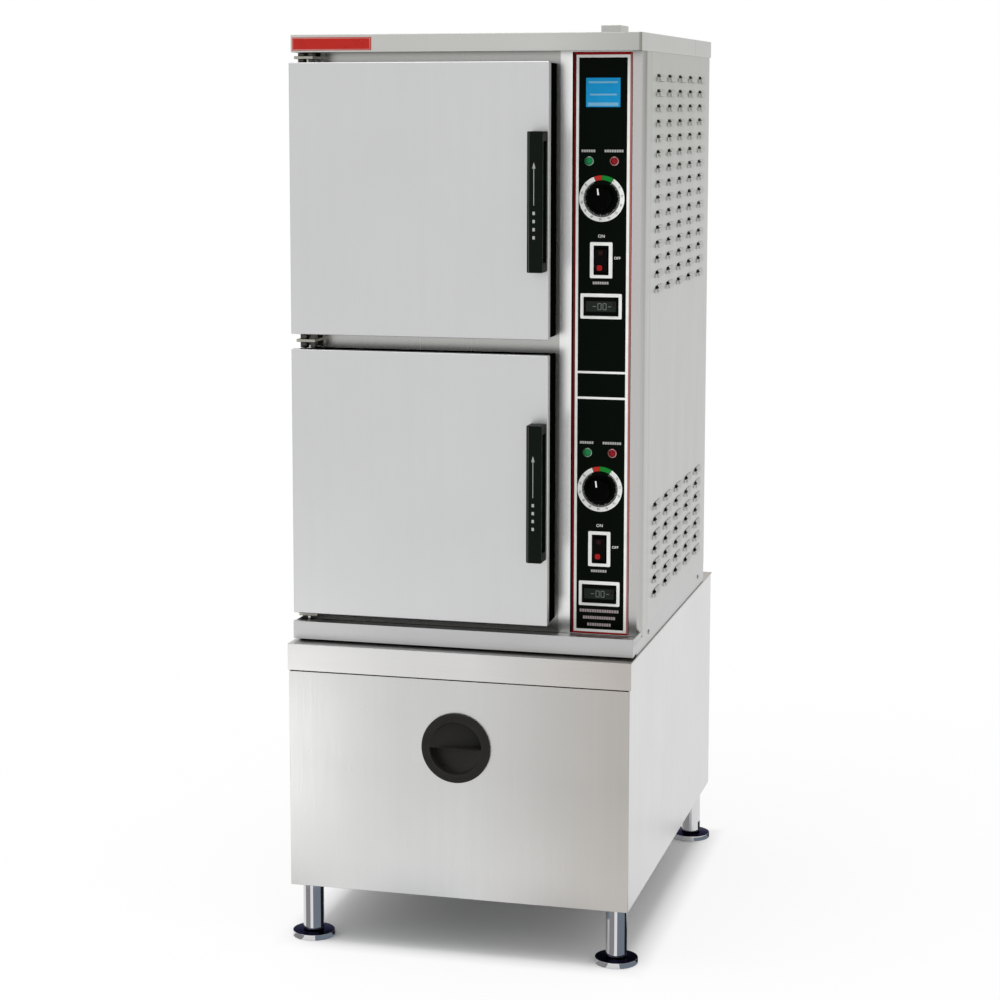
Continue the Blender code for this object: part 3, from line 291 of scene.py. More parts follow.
# Painted reflection: the flange tops are nearly black, for the base's dark underside that they mirror
flange_top_reflection_steel = steel("flange_top_reflection_steel", (0.022, 0.022, 0.036), 0.08, depth=0.02, mottle=0.02, wear=0.02)
flange_top_reflection_shader = flange_top_reflection_steel.node_tree.nodes["Principled BSDF"]
flange_top_reflection_shader.inputs["Specular Tint"].default_value = (0.46, 0.46, 0.52, 1)
chrome = steel("chrome", (0.30, 0.31, 0.31), 0.22, depth=0.03)
# Grey steel for the rear screws, and for the painted highlight on the handles' chamfers
highlight_and_screw_grey = steel("highlight_and_screw_grey", (0.16, 0.165, 0.16), 0.4)
handle_black = plastic("handle_black", (0.0030, 0.0060, 0.0036), 0.42, specular=0.03, wear=0.03)
grip_black = plastic("grip_black", (0.0165, 0.0155, 0.0145), 0.42, specular=0.10, wear=0.05)
knob_black = plastic("knob_black", (0.0006, 0.0006, 0.0006), 0.45, specular=0.015, wear=0.02)
edge_black = plastic("edge_black", (0.0012, 0.0012, 0.0008), 0.6, specular=0.0, wear=0.004)
switch_black = plastic("switch_black", (0.0016, 0.0009, 0.0009), 0.24, specular=0.03, wear=0.015)
rubber = plastic("rubber", (0.028, 0.028, 0.030), 0.78, specular=0.2, grain=700, strength=0.15, wear=0.05)
motor_grey = plastic("motor_grey", (0.055, 0.065, 0.075), 0.5, specular=0.3, grain=500, strength=0.2)
field_black = film("field_black", (0.0012, 0.0030, 0.0014), 0.34, specular=0.03)
ink_white = film("ink_white", (0.90, 0.91, 0.89))
ink_grey = film("ink_grey", (0.42, 0.42, 0.41))
ink_pale = film("ink_pale", (0.42, 0.36, 0.37), specular=0.06)
ink_rose = film("ink_rose", (0.40, 0.13, 0.11))
# A darker red for the border's left side: painted shade
ink_red_in_shade = film("ink_red_in_shade", (0.14, 0.003, 0.005), specular=0.06)
ink_deep_red = film("ink_deep_red", (0.32, 0.010, 0.010), specular=0.06)
ink_signal_red = film("ink_signal_red", (0.56, 0.030, 0.018))
ink_green = film("ink_green", (0.006, 0.25, 0.030))
ink_blue = film("ink_blue", (0.007, 0.31, 0.66), 0.35)
ink_pale_blue = film("ink_pale_blue", (0.20, 0.48, 0.68), 0.35)
badge_red = film("badge_red", (0.44, 0.018, 0.012), 0.3, specular=0.15)
badge_line = film("badge_line", (0.60, 0.30, 0.28), 0.3, specular=0.15)
window_glass = film("window_glass", (0.0010, 0.0012, 0.0010), 0.16, specular=0.03)
window_dim = film("window_dim", (0.018, 0.024, 0.020), 0.2, specular=0.03)
digit_grey = film("digit_grey", (0.15, 0.17, 0.16), 0.3, specular=0.05)
green_lens = film("green_lens", (0.006, 0.17, 0.050), 0.16, specular=0.15, glow=(0.01, 0.45, 0.12))
red_lens = film("red_lens", (0.20, 0.004, 0.008), 0.16, specular=0.15, glow=(0.6, 0.01, 0.01))
# Print with a faint painted glow, for the rocker's red dot
red_dot_painted_glow = film("red_dot_painted_glow", (0.33, 0.008, 0.008), 0.25, glow=(0.7, 0.01, 0.01), strength=0.06)
dim_dot = film("dim_dot", (0.022, 0.0015, 0.003), 0.25)


# Mesh tools
def mesh_of(name, bm):
    """A mesh from a bmesh, which is freed."""
    mesh = bpy.data.meshes.new(name)
    bm.to_mesh(mesh)
    bm.free()
    return mesh


def placed(name, data):
    """A new object in the scene."""
    item = bpy.data.objects.new(name, data)
    bpy.context.scene.collection.objects.link(item)
    return item


def linked(name, bm, material, body, smooth=None):
    """A finished piece from a bmesh, riding on a body."""
    bmesh.ops.recalc_face_normals(bm, faces=bm.faces)
    mesh = mesh_of(name, bm)
    for item in material if isinstance(material, (list, tuple)) else (material,):
        mesh.materials.append(item)
    piece = placed(name, mesh)
    if smooth:
        mesh.shade_smooth()
        mesh.set_sharp_from_angle(angle=math.radians(smooth))
    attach(piece, body)
    return piece


def rounded_edges(piece, width, segments=2, angle=28):
    """Softens a piece's sharp edges, with a bevel that is worked out each time."""
    piece.data.shade_smooth()
    bevel = piece.modifiers.new("edge", "BEVEL")
    bevel.width = width
    bevel.segments = segments
    bevel.limit_method = "ANGLE"
    bevel.angle_limit = math.radians(angle)
    bevel.harden_normals = True


# Limits for merging flat faces, in metres, square metres, degrees and as a cosine
WELD, SAME_PLANE, OFF_SURFACE = 0.00001, 0.00005, 0.0003
SMALL_FACE, FLAT_ANGLE, PARALLEL = 0.0000005, 0.4, 0.9999
# How often merging is tried. One solid stays as it is, because the bevel would close its opening
TRIES = 3
UNMERGED = ("lower_door_skin",)


def same_plane(first, second):
    """Whether two planes, each a normal and an offset, are the same."""
    return first[0].dot(second[0]) > PARALLEL and abs(first[1] - second[1]) < SAME_PLANE


def merged(node):
    """A copy of a solid's mesh with its flat faces merged, apart from those that go round an opening."""
    source = bmesh.new()
    source.from_mesh(frame["nodes"][node].data)
    bmesh.ops.remove_doubles(source, verts=source.verts, dist=WELD)
    skin = BVHTree.FromBMesh(source)
    rings = []
    for _ in range(0 if node in UNMERGED else TRIES):
        bm = source.copy()
        plain = []
        for edge in bm.edges:
            planes = [(face.normal, face.normal.dot(face.verts[0].co)) for face in edge.link_faces]
            if not any(all(same_plane(plane, ring) for plane in planes) for ring in rings):
                plain.append(edge)
        bmesh.ops.dissolve_limit(bm, angle_limit=math.radians(FLAT_ANGLE), verts=bm.verts, edges=plain)
        trial = bm.copy()
        bmesh.ops.triangulate(trial, faces=trial.faces)
        false_faces = []
        for face in trial.faces:
            middle = face.calc_center_median()
            if face.calc_area() > SMALL_FACE and skin.find_nearest(middle)[3] > OFF_SURFACE:
                false_faces.append((face.normal.copy(), face.normal.dot(middle)))
        trial.free()
        if not false_faces:
            source.free()
            return bm
        bm.free()
        for normal, offset in false_faces:
            rings += [(normal, offset), (-normal, -offset)]
    return source


def dressed(node, material, width=0.0006, zone=None, segments=2, angle=28):
    """A copy of a solid with its long flat faces merged and its edges softened, which stands for it.
    A zone is a second material and a test of a face's middle and normal that says where it goes."""
    bm = merged(node)
    bmesh.ops.recalc_face_normals(bm, faces=bm.faces)
    for face in bm.faces:
        face.material_index = 1 if zone and zone[1](face.calc_center_median(), face.normal) else 0
    piece = linked(node + "_dressed", bm, (material, zone[0]) if zone else material, body_of[node])
    for attribute in list(piece.data.attributes):
        if attribute.name == "custom_normal":
            piece.data.attributes.remove(attribute)
    rounded_edges(piece, width, segments, angle)
    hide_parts(node)


def add_prism(bm, outline, start, end, index=0, upright=False):
    """An outline of (x, z) from one depth to another or, upright, of (x, y) from one height to another."""
    loops = []
    for place in (start, end):
        spots = [(a, b, place) if upright else (a, place, b) for a, b in outline]
        loops.append([bm.verts.new(spot) for spot in spots])
    first, second = loops
    faces = [bm.faces.new(first), bm.faces.new(second[::-1])]
    count = len(outline)
    for k in range(count):
        after = (k + 1) % count
        faces.append(bm.faces.new((first[k], second[k], second[after], first[after])))
    for face in faces:
        face.material_index = index


def add_ring(bm, outer, inner, front, rear, index=0, closed=True):
    """A plate between two lines with equally many points."""
    loops = [[bm.verts.new((x, y, z)) for x, z in line] for y in (front, rear) for line in (outer, inner)]
    count = len(outer)
    faces = []
    for k in range(count if closed else count - 1):
        after = (k + 1) % count
        quads = ((0, 1), (1, 3), (3, 2), (2, 0))
        for a, b in quads:
            faces.append(bm.faces.new((loops[a][k], loops[a][after], loops[b][after], loops[b][k])))
    if not closed:
        for k in (0, count - 1):
            faces.append(bm.faces.new((loops[0][k], loops[1][k], loops[3][k], loops[2][k])))
    for face in faces:
        face.material_index = index


def rounded(x, z, width, height, radius, steps=5):
    """The outline of a rectangle with round corners."""
    points = []
    for quarter, (a, b) in enumerate(((1, 1), (-1, 1), (-1, -1), (1, -1))):
        centre_x = x + a * (width / 2 - radius)
        centre_z = z + b * (height / 2 - radius)
        for step in range(steps + 1):
            angle = (quarter + step / steps) * TURN / 4
            points.append((centre_x + radius * math.cos(angle), centre_z + radius * math.sin(angle)))
    return points


def rectangle(left, low, right, high):
    """The outline of a rectangle, from its lower left corner."""
    return [(left, low), (right, low), (right, high), (left, high)]


def arc(x, z, radius, start, end, steps=96):
    """Points round a dial; angles run clockwise from the top, in degrees."""
    count = max(2, round(steps * (end - start) / 360))
    turns = [math.radians(start + (end - start) * k / count) for k in range(count + 1)]
    return [(x + radius * math.sin(t), z + radius * math.cos(t)) for t in turns]


def add_text(bm, text, size, x, z, front, index=0, angle=0.0):
    """Plain lettering one printed layer thick, centred on a point."""
    curve = bpy.data.curves.new("lettering", "FONT")
    curve.body = text
    curve.size = size
    curve.align_x = "CENTER"
    curve.align_y = "CENTER"
    curve.extrude = PRINT / 2
    curve.resolution_u = 3
    item = bpy.data.objects.new("lettering", curve)
    mesh = bpy.data.meshes.new_from_object(item)
    turn = Matrix.Rotation(math.radians(angle), 4, "Y") @ Matrix.Rotation(TURN / 4, 4, "X")
    mesh.transform(Matrix.Translation((x, front + PRINT / 2, z)) @ turn)
    count = len(bm.faces)
    bm.from_mesh(mesh)
    bm.faces.ensure_lookup_table()
    for face in bm.faces[count:]:
        face.material_index = index
    bpy.data.objects.remove(item)
    bpy.data.curves.remove(curve)


def add_skin(bm, rings, index=0):
    """Faces between rings of points; a ring may be a single point."""
    count = max(len(ring) for ring in rings)
    for first, second in zip(rings, rings[1:]):
        for k in range(count):
            after = (k + 1) % count
            corners = [first[k % len(first)], first[after % len(first)]]
            corners += [second[after % len(second)], second[k % len(second)]]
            unique = list(dict.fromkeys(corners))
            if len(unique) > 2:
                bm.faces.new(unique).material_index = index


def add_turned(bm, profile, centre, steps=48, index=0):
    """A profile of (radius, y) turned round an axis along Y through (x, z)."""
    x, z = centre
    turns = [TURN * k / steps for k in range(steps)]
    rings = []
    for radius, y in profile:
        ring = turns if radius else turns[:1]
        spots = [(x + radius * math.cos(t), y, z + radius * math.sin(t)) for t in ring]
        rings.append([bm.verts.new(spot) for spot in spots])
    add_skin(bm, rings, index)


# Solids with better looks
sill_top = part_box("bottom_pan")[1][2]
SOFTENED = {
    "upper_door_skin": (door_steel, 0.0012),
    "lower_door_skin": (door_steel, 0.0012),
    "upper_door_core": (edge_black, 0.0008),
    "lower_door_core": (edge_black, 0.0008),
    "upper_handle": (handle_black, 0.0010),
    "lower_handle": (handle_black, 0.0010),
    "top_cap": (cap_steel, 0.0009),
    "steam_vent": (cap_steel, 0.0008),
    "left_side_panel": (side_steel, 0.0006),
    "rear_panel": (side_steel, 0.0005),
    "base_top": (apron_steel, 0.0010),
    "base_front_panel": (front_steel, 0.0009),
    "upper_timer_knob": (knob_black, 0.0008),
    "lower_timer_knob": (knob_black, 0.0008),
}


def in_trough(middle, normal):
    """The drip trough's floor and its front and rear walls, which get the trough's steel; under the doors it
    is painted nearly black as shade.
    """
    front, rear = -0.381, -0.29
    return abs(normal.x) < 0.5 and middle.z < sill_top - 0.001 and front < middle.y < rear


def underneath(middle, normal):
    """The base's underside and its inside, which get a darker steel as painted shade."""
    inside_x, inside_y = 0.3, 0.40
    return normal.z < -0.5 or (abs(middle.x) < inside_x and abs(middle.y) < inside_y)


def on_the_side(middle, normal):
    """The frame's flanges that wrap round the cabinet's corners, which get a darker copy of the steel as
    painted shade.
    """
    return abs(normal.x) > 0.7 and abs(middle.x) > 0.295


def by_the_frame(middle, normal):
    """A hinge bracket's leaf and the root of its arm, which get the near-black steel as painted shade between
    the hinge plates.
    """
    return middle.y > -0.325


def on_the_flange(middle, normal):
    """The top of a foot's flange, painted nearly black as a reflection of the base's dark underside above it.
    """
    return normal.z > 0.3 and middle.z < 0.02


for name, (material, width) in SOFTENED.items():
    dressed(name, material, width)
dressed("bottom_pan", sill_steel, 0.0009, (shaded_trough_steel, in_trough))
for name in ("top_hinge", "middle_hinge", "bottom_hinge"):
    dressed(name, hinge_steel, 0.0006, (hinge_black_and_shade, by_the_frame))
dressed("front_frame", column_steel, 0.0009, (wrap_shaded_steel, on_the_side))
dressed("base_shell", base_steel, 0.0006, (underside_shade_steel, underneath))
for corner in ("front_left", "front_right", "rear_left", "rear_right"):
    dressed(f"foot_{corner}", leg_steel, 0.0025, (flange_top_reflection_steel, on_the_flange), segments=4, angle=35)


def both(*parts):
    """The names of the same parts in the two compartments."""
    return [f"{where}_{part}" for part in parts for where in DIALS]


# Solids that stay as they are, by the material that they get
CARRIED = {
    inner_steel: both("cavity", "door_liner", "fan_baffle", "steam_generator") + ["drain_pipe"],
    rack_steel: both("pan_rack", "blower_wheel"),
    leg_steel: ["leg_front_left", "leg_front_right", "leg_rear_left", "leg_rear_right"],
    rubber: both("door_gasket"),
    motor_grey: both("fan_motor"),
    field_black: ["control_overlay"],
    knob_black: both("timer", "switch_body"),
    switch_black: both("rocker"),
    window_glass: both("display"),
    green_lens: both("ready_lamp"),
    red_lens: both("cooking_lamp"),
}
for material, names in CARRIED.items():
    for name in names:
        for slot in frame["nodes"][name].material_slots:
            slot.material = material


# Printed control panel
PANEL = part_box("control_overlay")
PRINT_FRONT = OVERLAY_Y - PRINT


def inset_panel(left, right, low, high):
    """A rectangle on the panel, by its distance from each of the panel's edges."""
    return rectangle(PANEL[0][0] + left, PANEL[0][2] + low, PANEL[1][0] - right, PANEL[1][2] - high)


# The red line starts further in on the left; the wider black margin there is painted shade
RED_LINE = inset_panel(0.0026, 0.0003, 0.0004, 0.0003)
WHITE_LINE = inset_panel(0.0066, 0.0037, 0.0036, 0.0047)
FIELD = inset_panel(0.0112, 0.0085, 0.0082, 0.0094)


def border():
    """The red and white lines round the printed field; each side has its own red: a darker red on the left as
    painted shade, a paler rose on the right.
    """
    white, red, deep_red, rose = range(4)
    bm = bmesh.new()
    for k, shade in enumerate((deep_red, rose, deep_red, red)):
        after = (k + 1) % 4
        for outer, inner, index in ((RED_LINE, WHITE_LINE, shade), (WHITE_LINE, FIELD, white)):
            side = [outer[k], outer[after], inner[after], inner[k]]
            add_prism(bm, side, PRINT_FRONT, OVERLAY_Y, index)
    linked("panel_border", bm, (ink_white, ink_red_in_shade, ink_deep_red, ink_rose), "cabinet")


def add_dashes(bm, x, z, width, height, index):
    """A row of small plain bars that stands where a word would be."""
    bar_pitch, bar_share, bar_radius = 0.0042, 0.78, 0.0005
    count = max(3, round(width / bar_pitch))
    pitch = width / count
    for k in range(count):
        middle = x - width / 2 + pitch * (k + 0.5)
        bar = rounded(middle, z, pitch * bar_share, height, bar_radius, 2)
        add_prism(bm, bar, PRINT_FRONT, OVERLAY_Y, index)


def stroke(centre, degrees, near, far, half_width):
    """A straight stroke on a dial from one radius to another, at an angle clockwise from the top."""
    t = math.radians(degrees)
    way = Vector((math.sin(t), math.cos(t)))
    across = Vector((way.y, -way.x)) * half_width
    middle = Vector(centre)
    points = [middle + way * near - across, middle + way * near + across]
    points += [middle + way * far + across, middle + way * far - across]
    return [tuple(point) for point in points]


def add_dial(bm, dial, white, grey, red, green, black):
    """The timer's ring, with its red and green zones, its minutes and the ticks inside it."""
    outer, inner = 0.0390, 0.0312
    for start, end, index in ((32, 339, white), (340, 359.6, red), (0.4, 31, green)):
        lines = [arc(COLUMN_X, dial, radius, start, end) for radius in (outer, inner)]
        add_ring(bm, *lines, PRINT_FRONT, OVERLAY_Y, index, False)
    scale_z = dial + 0.0007
    first_angle, angle_step, minutes_step = 34, 5.0, 5
    number_radius, number_size = 0.0352, 0.0052
    tick_far, tick_near, long_tick_near = 0.0314, 0.0284, 0.0272
    for minute in range(60):
        angle = first_angle + minute * angle_step
        numbered = minute % minutes_step == 0
        if numbered:
            t = math.radians(angle)
            x = COLUMN_X + number_radius * math.sin(t)
            z = scale_z + number_radius * math.cos(t)
            text = str(minute + minutes_step)
            add_text(bm, text, number_size, x, z, PRINT_FRONT - PRINT / 2, black, angle=-angle)
        tick = stroke((COLUMN_X, scale_z), angle, long_tick_near if numbered else tick_near, tick_far, 0.0004)
        add_prism(bm, tick, PRINT_FRONT, OVERLAY_Y, grey)


# The outer and inner outlines of the white frames: how far each one's middle lies below the dial,
# then its width, its height and the radius of its corners
SWITCH_FRAME = ((0.1038, 0.0385, 0.0608, 0.0020), (0.1040, 0.0262, 0.0500, 0.0012))
DISPLAY_FRAME = ((0.1820, 0.0715, 0.0430, 0.0020), (DISPLAY_DROP, 0.0605, 0.0320, 0.0012))
# The rows of bars: how far right of the column's middle, how far above the dial, and how wide
LABELS = ((-0.0235, 0.0800, 0.0245), (0.0205, 0.0800, 0.0330), (-0.001, -0.1425, 0.0280))
LABEL_HEIGHT = 0.0044
# The words: their size, how far right of the column's middle and how far below the dial
WORDS = {"ON": (0.0076, 0, 0.0635), "OFF": (0.0066, 0.0275, 0.1003)}


def panel_print(where, dial):
    """Dial, switch and display frames and lamp labels, all printed on the panel."""
    white, grey, red, green, black = range(5)
    bm = bmesh.new()
    add_dial(bm, dial, white, grey, red, green, black)
    switch_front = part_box(f"{where}_switch_body")[0][1] - PRINT
    for frame_lines, front in ((SWITCH_FRAME, switch_front), (DISPLAY_FRAME, PRINT_FRONT)):
        outer, inner = (rounded(COLUMN_X, dial - below, *size) for below, *size in frame_lines)
        add_ring(bm, outer, inner, front, OVERLAY_Y, white)
    for right, above, width in LABELS:
        add_dashes(bm, COLUMN_X + right, dial + above, width, LABEL_HEIGHT, grey)
    for word, (size, right, below) in WORDS.items():
        add_text(bm, word, size, COLUMN_X + right, dial - below, PRINT_FRONT, white)
    materials = (ink_white, ink_grey, ink_signal_red, ink_green, field_black)
    linked(f"{where}_panel_print", bm, materials, "cabinet")


def panel_bars():
    """The two lines round the bare plate in the middle and the bars at the bottom."""
    bm = bmesh.new()
    left, right = FIELD[0][0], FIELD[1][0]
    half = 0.0019
    for z in (1.017, 0.973):
        add_prism(bm, rectangle(left, z - half, right, z + half), PRINT_FRONT, OVERLAY_Y, 0)
    for z, width in ((0.6035, 0.0690), (0.5915, 0.0570), (0.5795, 0.0420)):
        add_dashes(bm, COLUMN_X, z, width, 0.0052, 1)
    linked("panel_bars", bm, (ink_white, ink_pale), "cabinet")


def blue_plate():
    """The plain blue plate at the top, with three pale lines."""
    bm = bmesh.new()
    x, middle, plate_width, plate_height, corner = 0.2299, 1.4896, 0.0587, 0.0487, 0.0010
    plate = rounded(x, middle, plate_width, plate_height, corner)
    add_prism(bm, plate, PRINT_FRONT - PRINT, OVERLAY_Y, 0)
    for z, width, height in ((1.4700, 0.052, 0.0055), (1.4860, 0.046, 0.0028), (1.5065, 0.050, 0.0030)):
        line = rounded(x, z, width, height, 0.0008)
        add_prism(bm, line, PRINT_FRONT - PRINT * 1.5, PRINT_FRONT, 1)
    linked("blue_plate", bm, (ink_blue, ink_pale_blue), "cabinet")


def lamp(name, where, dial, side, lens):
    """A chrome ring with a domed lens over the plain barrel's face."""
    aside, above_dial = 0.0215, 0.063
    ring = [(0.0060, 0.0022), (0.0064, 0.0029), (0.0071, 0.0028), (0.0080, 0.0018), (0.0083, 0)]
    dome = [(0.0061, 0.0024), (0.0056, 0.0040), (0.0046, 0.0052), (0.0024, 0.0062), (0, 0.0064)]
    bm = bmesh.new()
    for index, profile in enumerate((ring, dome)):
        turned = [(radius, OVERLAY_Y - proud) for radius, proud in profile]
        add_turned(bm, turned, (COLUMN_X + side * aside, dial + above_dial), index=index)
    linked(f"{where}_{name}_lamp_cap", bm, (chrome, lens), "cabinet", smooth=50)


def skin_of(node):
    """A search tree of a solid's own surface."""
    bm = bmesh.new()
    bm.from_mesh(frame["nodes"][node].data)
    tree = BVHTree.FromBMesh(bm)
    bm.free()
    return tree


def add_decal(bm, tree, outline, thickness, index=0):
    """A thin plate that follows the surface behind it, made of shrinking copies of its outline."""
    middle_x = sum(point[0] for point in outline) / len(outline)
    middle_z = sum(point[1] for point in outline) / len(outline)

    def laid(share, lift):
        loop = []
        for x, z in outline:
            x = middle_x + (x - middle_x) * share
            z = middle_z + (z - middle_z) * share
            hit = tree.ray_cast(Vector((x, -1.0, z)), Vector((0, 1, 0)))[0]
            loop.append(bm.verts.new((x, hit.y - lift, z)))
        return loop

    loops = [laid(1.0, -thickness / 2)]
    loops += [laid(share, thickness) for share in (1.0, 0.8, 0.6, 0.4, 0.2)]
    add_skin(bm, loops, index)
    bm.faces.new(loops[-1]).material_index = index


def rocker_dots(where, dial):
    """The printed dots of the rocker's two ends; the red one has a faint painted glow."""
    z = dial - 0.1045
    tree = skin_of(f"{where}_rocker")
    bm = bmesh.new()
    add_decal(bm, tree, rounded(COLUMN_X - 0.0024, z - 0.0122, 0.0092, 0.0090, 0.0030), PRINT, 0)
    add_decal(bm, tree, rounded(COLUMN_X - 0.0006, z + 0.0130, 0.0076, 0.0076, 0.0024), PRINT, 1)
    linked(f"{where}_rocker_dots", bm, (red_dot_painted_glow, dim_dot), body_of[f"{where}_rocker"])


def pointer(where, dial):
    """The white line on the knob's face."""
    node = f"{where}_timer_knob"
    line = stroke((COLUMN_X, dial), -7, 0.0068, 0.0176, 0.0013)
    bm = bmesh.new()
    add_decal(bm, skin_of(node), line, PRINT * 1.5)
    linked(f"{where}_knob_pointer", bm, ink_white, body_of[node])


def digits(where, dial):
    """Dim seven-segment figures behind the display's window, with a dim red mark beside them."""
    width, height, line, pitch = 0.0056, 0.0105, 0.0013, 0.0088
    half, quarter = height / 2, height / 4
    spots = {
        "a": (0, half, width, line),
        "b": (width / 2, quarter, line, half),
        "c": (width / 2, -quarter, line, half),
        "d": (0, -half, width, line),
        "e": (-width / 2, -quarter, line, half),
        "f": (-width / 2, quarter, line, half),
        "g": (0, 0, width, line),
    }
    lit = {"0": "abcdef", "-": "g"}
    z = dial - DISPLAY_DROP
    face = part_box(f"{where}_display")[0][1]
    front, rear = face - 0.0004, face - 0.0001
    bm = bmesh.new()
    add_prism(bm, rounded(COLUMN_X, z, 0.0520, 0.0178, 0.0010), face - 0.0001, face + 0.0002, 1)
    for place, figure in enumerate("-00-"):
        middle = COLUMN_X + 0.002 + (place - 1.5) * pitch
        for part in lit[figure]:
            x, rise, w, h = spots[part]
            add_prism(bm, rounded(middle + x, z + rise, w, h, line * 0.3, 2), front, rear)
    add_prism(bm, rounded(COLUMN_X + 0.0225, z + 0.0040, 0.0026, 0.0070, 0.0006), front, rear, 2)
    linked(f"{where}_display_digits", bm, (digit_grey, window_dim, dim_dot), "cabinet")


border()
panel_bars()
blue_plate()
for where, dial in DIALS.items():
    panel_print(where, dial)
    lamp("ready", where, dial, -1, green_lens)
    lamp("cooking", where, dial, 1, red_lens)
    rocker_dots(where, dial)
    pointer(where, dial)
    digits(where, dial)


# Badge and handles
def badge():
    """A plain red plate with a pale line on the front of the cap."""
    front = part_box("top_cap")[0][1]
    x, low, high, width, thickness = -0.2315, 1.5612, 1.5832, 0.141, 0.0012
    z, height = (low + high) / 2, high - low
    bm = bmesh.new()
    add_prism(bm, rounded(x, z, width, height, 0.0012), front - thickness, front, 0)
    outer = rounded(x, z, width - 0.0025, height - 0.0024, 0.0010)
    inner = rounded(x, z, width - 0.0040, height - 0.0040, 0.0008)
    add_ring(bm, outer, inner, front - thickness - 0.0002, front - thickness + 0.0002, 1)
    linked("cap_badge", bm, (badge_red, badge_line), "cabinet")


def handle_marks(where):
    """An arrow that points up and four small bars below it."""
    low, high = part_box(f"{where}_handle")
    middle = (low[2] + high[2]) / 2
    x = low[0] + 0.0125
    half_shaft, half_head = 0.0005, 0.0028
    shaft_foot, shaft_top, head_foot, tip = -0.005, 0.060, 0.056, 0.066
    head = [(x - half_head, middle + head_foot), (x + half_head, middle + head_foot), (x, middle + tip)]
    outlines = [rectangle(x - half_shaft, middle + shaft_foot, x + half_shaft, middle + shaft_top), head]
    first_bar, bar_pitch = -0.018, 0.0135
    for step in range(4):
        outlines.append(rounded(x, middle + first_bar - step * bar_pitch, 0.0042, 0.0055, 0.0008))
    bm = bmesh.new()
    for outline in outlines:
        add_prism(bm, outline, low[1] - PRINT, low[1] + 0.0002)
    linked(f"{where}_handle_marks", bm, ink_grey, body_of[f"{where}_handle"])


def handle_chamfer_highlight(where):
    """A grey metal strip on the handle's chamfer: a painted highlight where the chamfer catches the light."""
    low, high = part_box(f"{where}_handle")
    left, front = low[0], low[1]
    chamfer, proud, depth, short = 0.0042, 0.0001, 0.0004, 0.001
    outline = [(left - proud, front + chamfer), (left + chamfer, front - proud)]
    outline += [(x + depth, y + depth) for x, y in outline[::-1]]
    bm = bmesh.new()
    add_prism(bm, outline, low[2] + short, high[2] - short, upright=True)
    linked(f"{where}_handle_chamfer_highlight", bm, highlight_and_screw_grey, body_of[f"{where}_handle"])


badge()
for where in DIALS:
    handle_marks(where)
    handle_chamfer_highlight(where)


# Turn grip
def slope_depth(x, z, recess, depth):
    """How far the grip's face lies back: its two halves slope away in opposite directions from the web."""
    wall_width, web_half = 0.0030, 0.0022
    r = math.hypot(x, z)
    if r >= recess:
        return 0.0
    slope = 0.5 + 0.5 * x / recess if z > 0 else 0.5 - 0.5 * x / recess
    wall = min(1.0, (recess - r) / wall_width)
    shelf = min(1.0, abs(z) / web_half)
    return depth * slope * wall * wall * (3 - 2 * wall) * shelf * shelf * (3 - 2 * shelf)


def grip_turns():
    """The angles of the grip's points: even, and closer beside the web."""
    steps, close = 144, 0.009
    turns = [TURN * k / steps for k in range(steps)]
    for base in (0.0, TURN / 2):
        for k in (1, 2, 3, 4):
            turns += [(base + k * close) % TURN, (base - k * close) % TURN]
    return sorted(set(round(t, 6) for t in turns))


def turn_grip():
    """The round grip with its rim, its recessed face and the tongue behind the panel."""
    centre_x, _, centre_z = pivot_of["panel_grip_turn"]
    front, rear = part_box("turn_grip")[0][1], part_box("turn_grip")[1][1]
    behind_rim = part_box("base_front_panel")[0][1] - 0.0003
    recess, depth, neck = 0.0465, 0.020, 0.0500
    wide_rings, wall_rings, wall_start = 26, 5, 0.93
    radii = [recess * wall_start * k / wide_rings for k in range(wide_rings + 1)]
    radii += [recess * (wall_start + (1 - wall_start) * k / wall_rings) for k in range(1, wall_rings + 1)]
    profile = [(radius, 0.0) for radius in radii]
    profile += [(0.0500, 0.0), (0.0560, 0.0), (0.0590, 0.0)]
    profile += [(0.0602, 0.0004), (0.0608, 0.0011), (0.0610, 0.0022)]
    turns = grip_turns()
    bm = bmesh.new()

    def ring(radius, y, sloped=False):
        loop = []
        for t in turns if radius else turns[:1]:
            x, z = radius * math.cos(t), radius * math.sin(t)
            back = slope_depth(x, z, recess, depth) if sloped else 0.0
            loop.append(bm.verts.new((centre_x + x, y + back, centre_z + z)))
        return loop

    rings = [ring(radius, front + back, True) for radius, back in profile]
    rings += [ring(profile[-1][0], behind_rim), ring(neck, behind_rim), ring(neck, rear)]
    add_skin(bm, rings)
    bm.faces.new(rings[-1][::-1])
    piece = linked("turn_grip_dressed", bm, grip_black, body_of["turn_grip"], smooth=50)
    thickness, half_width, reach = 0.004, 0.013, 0.082
    tongue = bmesh.new()
    outline = rectangle(0.0, centre_z - half_width, reach, centre_z + half_width)
    add_prism(tongue, outline, rear - thickness, rear)
    plate = linked("turn_grip_tongue", tongue, grip_black, body_of["turn_grip"])
    rounded_edges(plate, 0.0008)
    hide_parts("turn_grip")


turn_grip()


# Side panel with pressed louvres
LOUVRE_LENGTH = 0.066
LOUVRE_HEIGHT = 0.012
LOUVRE_PROUD = 0.0050
LOUVRE_PITCH = 0.0259


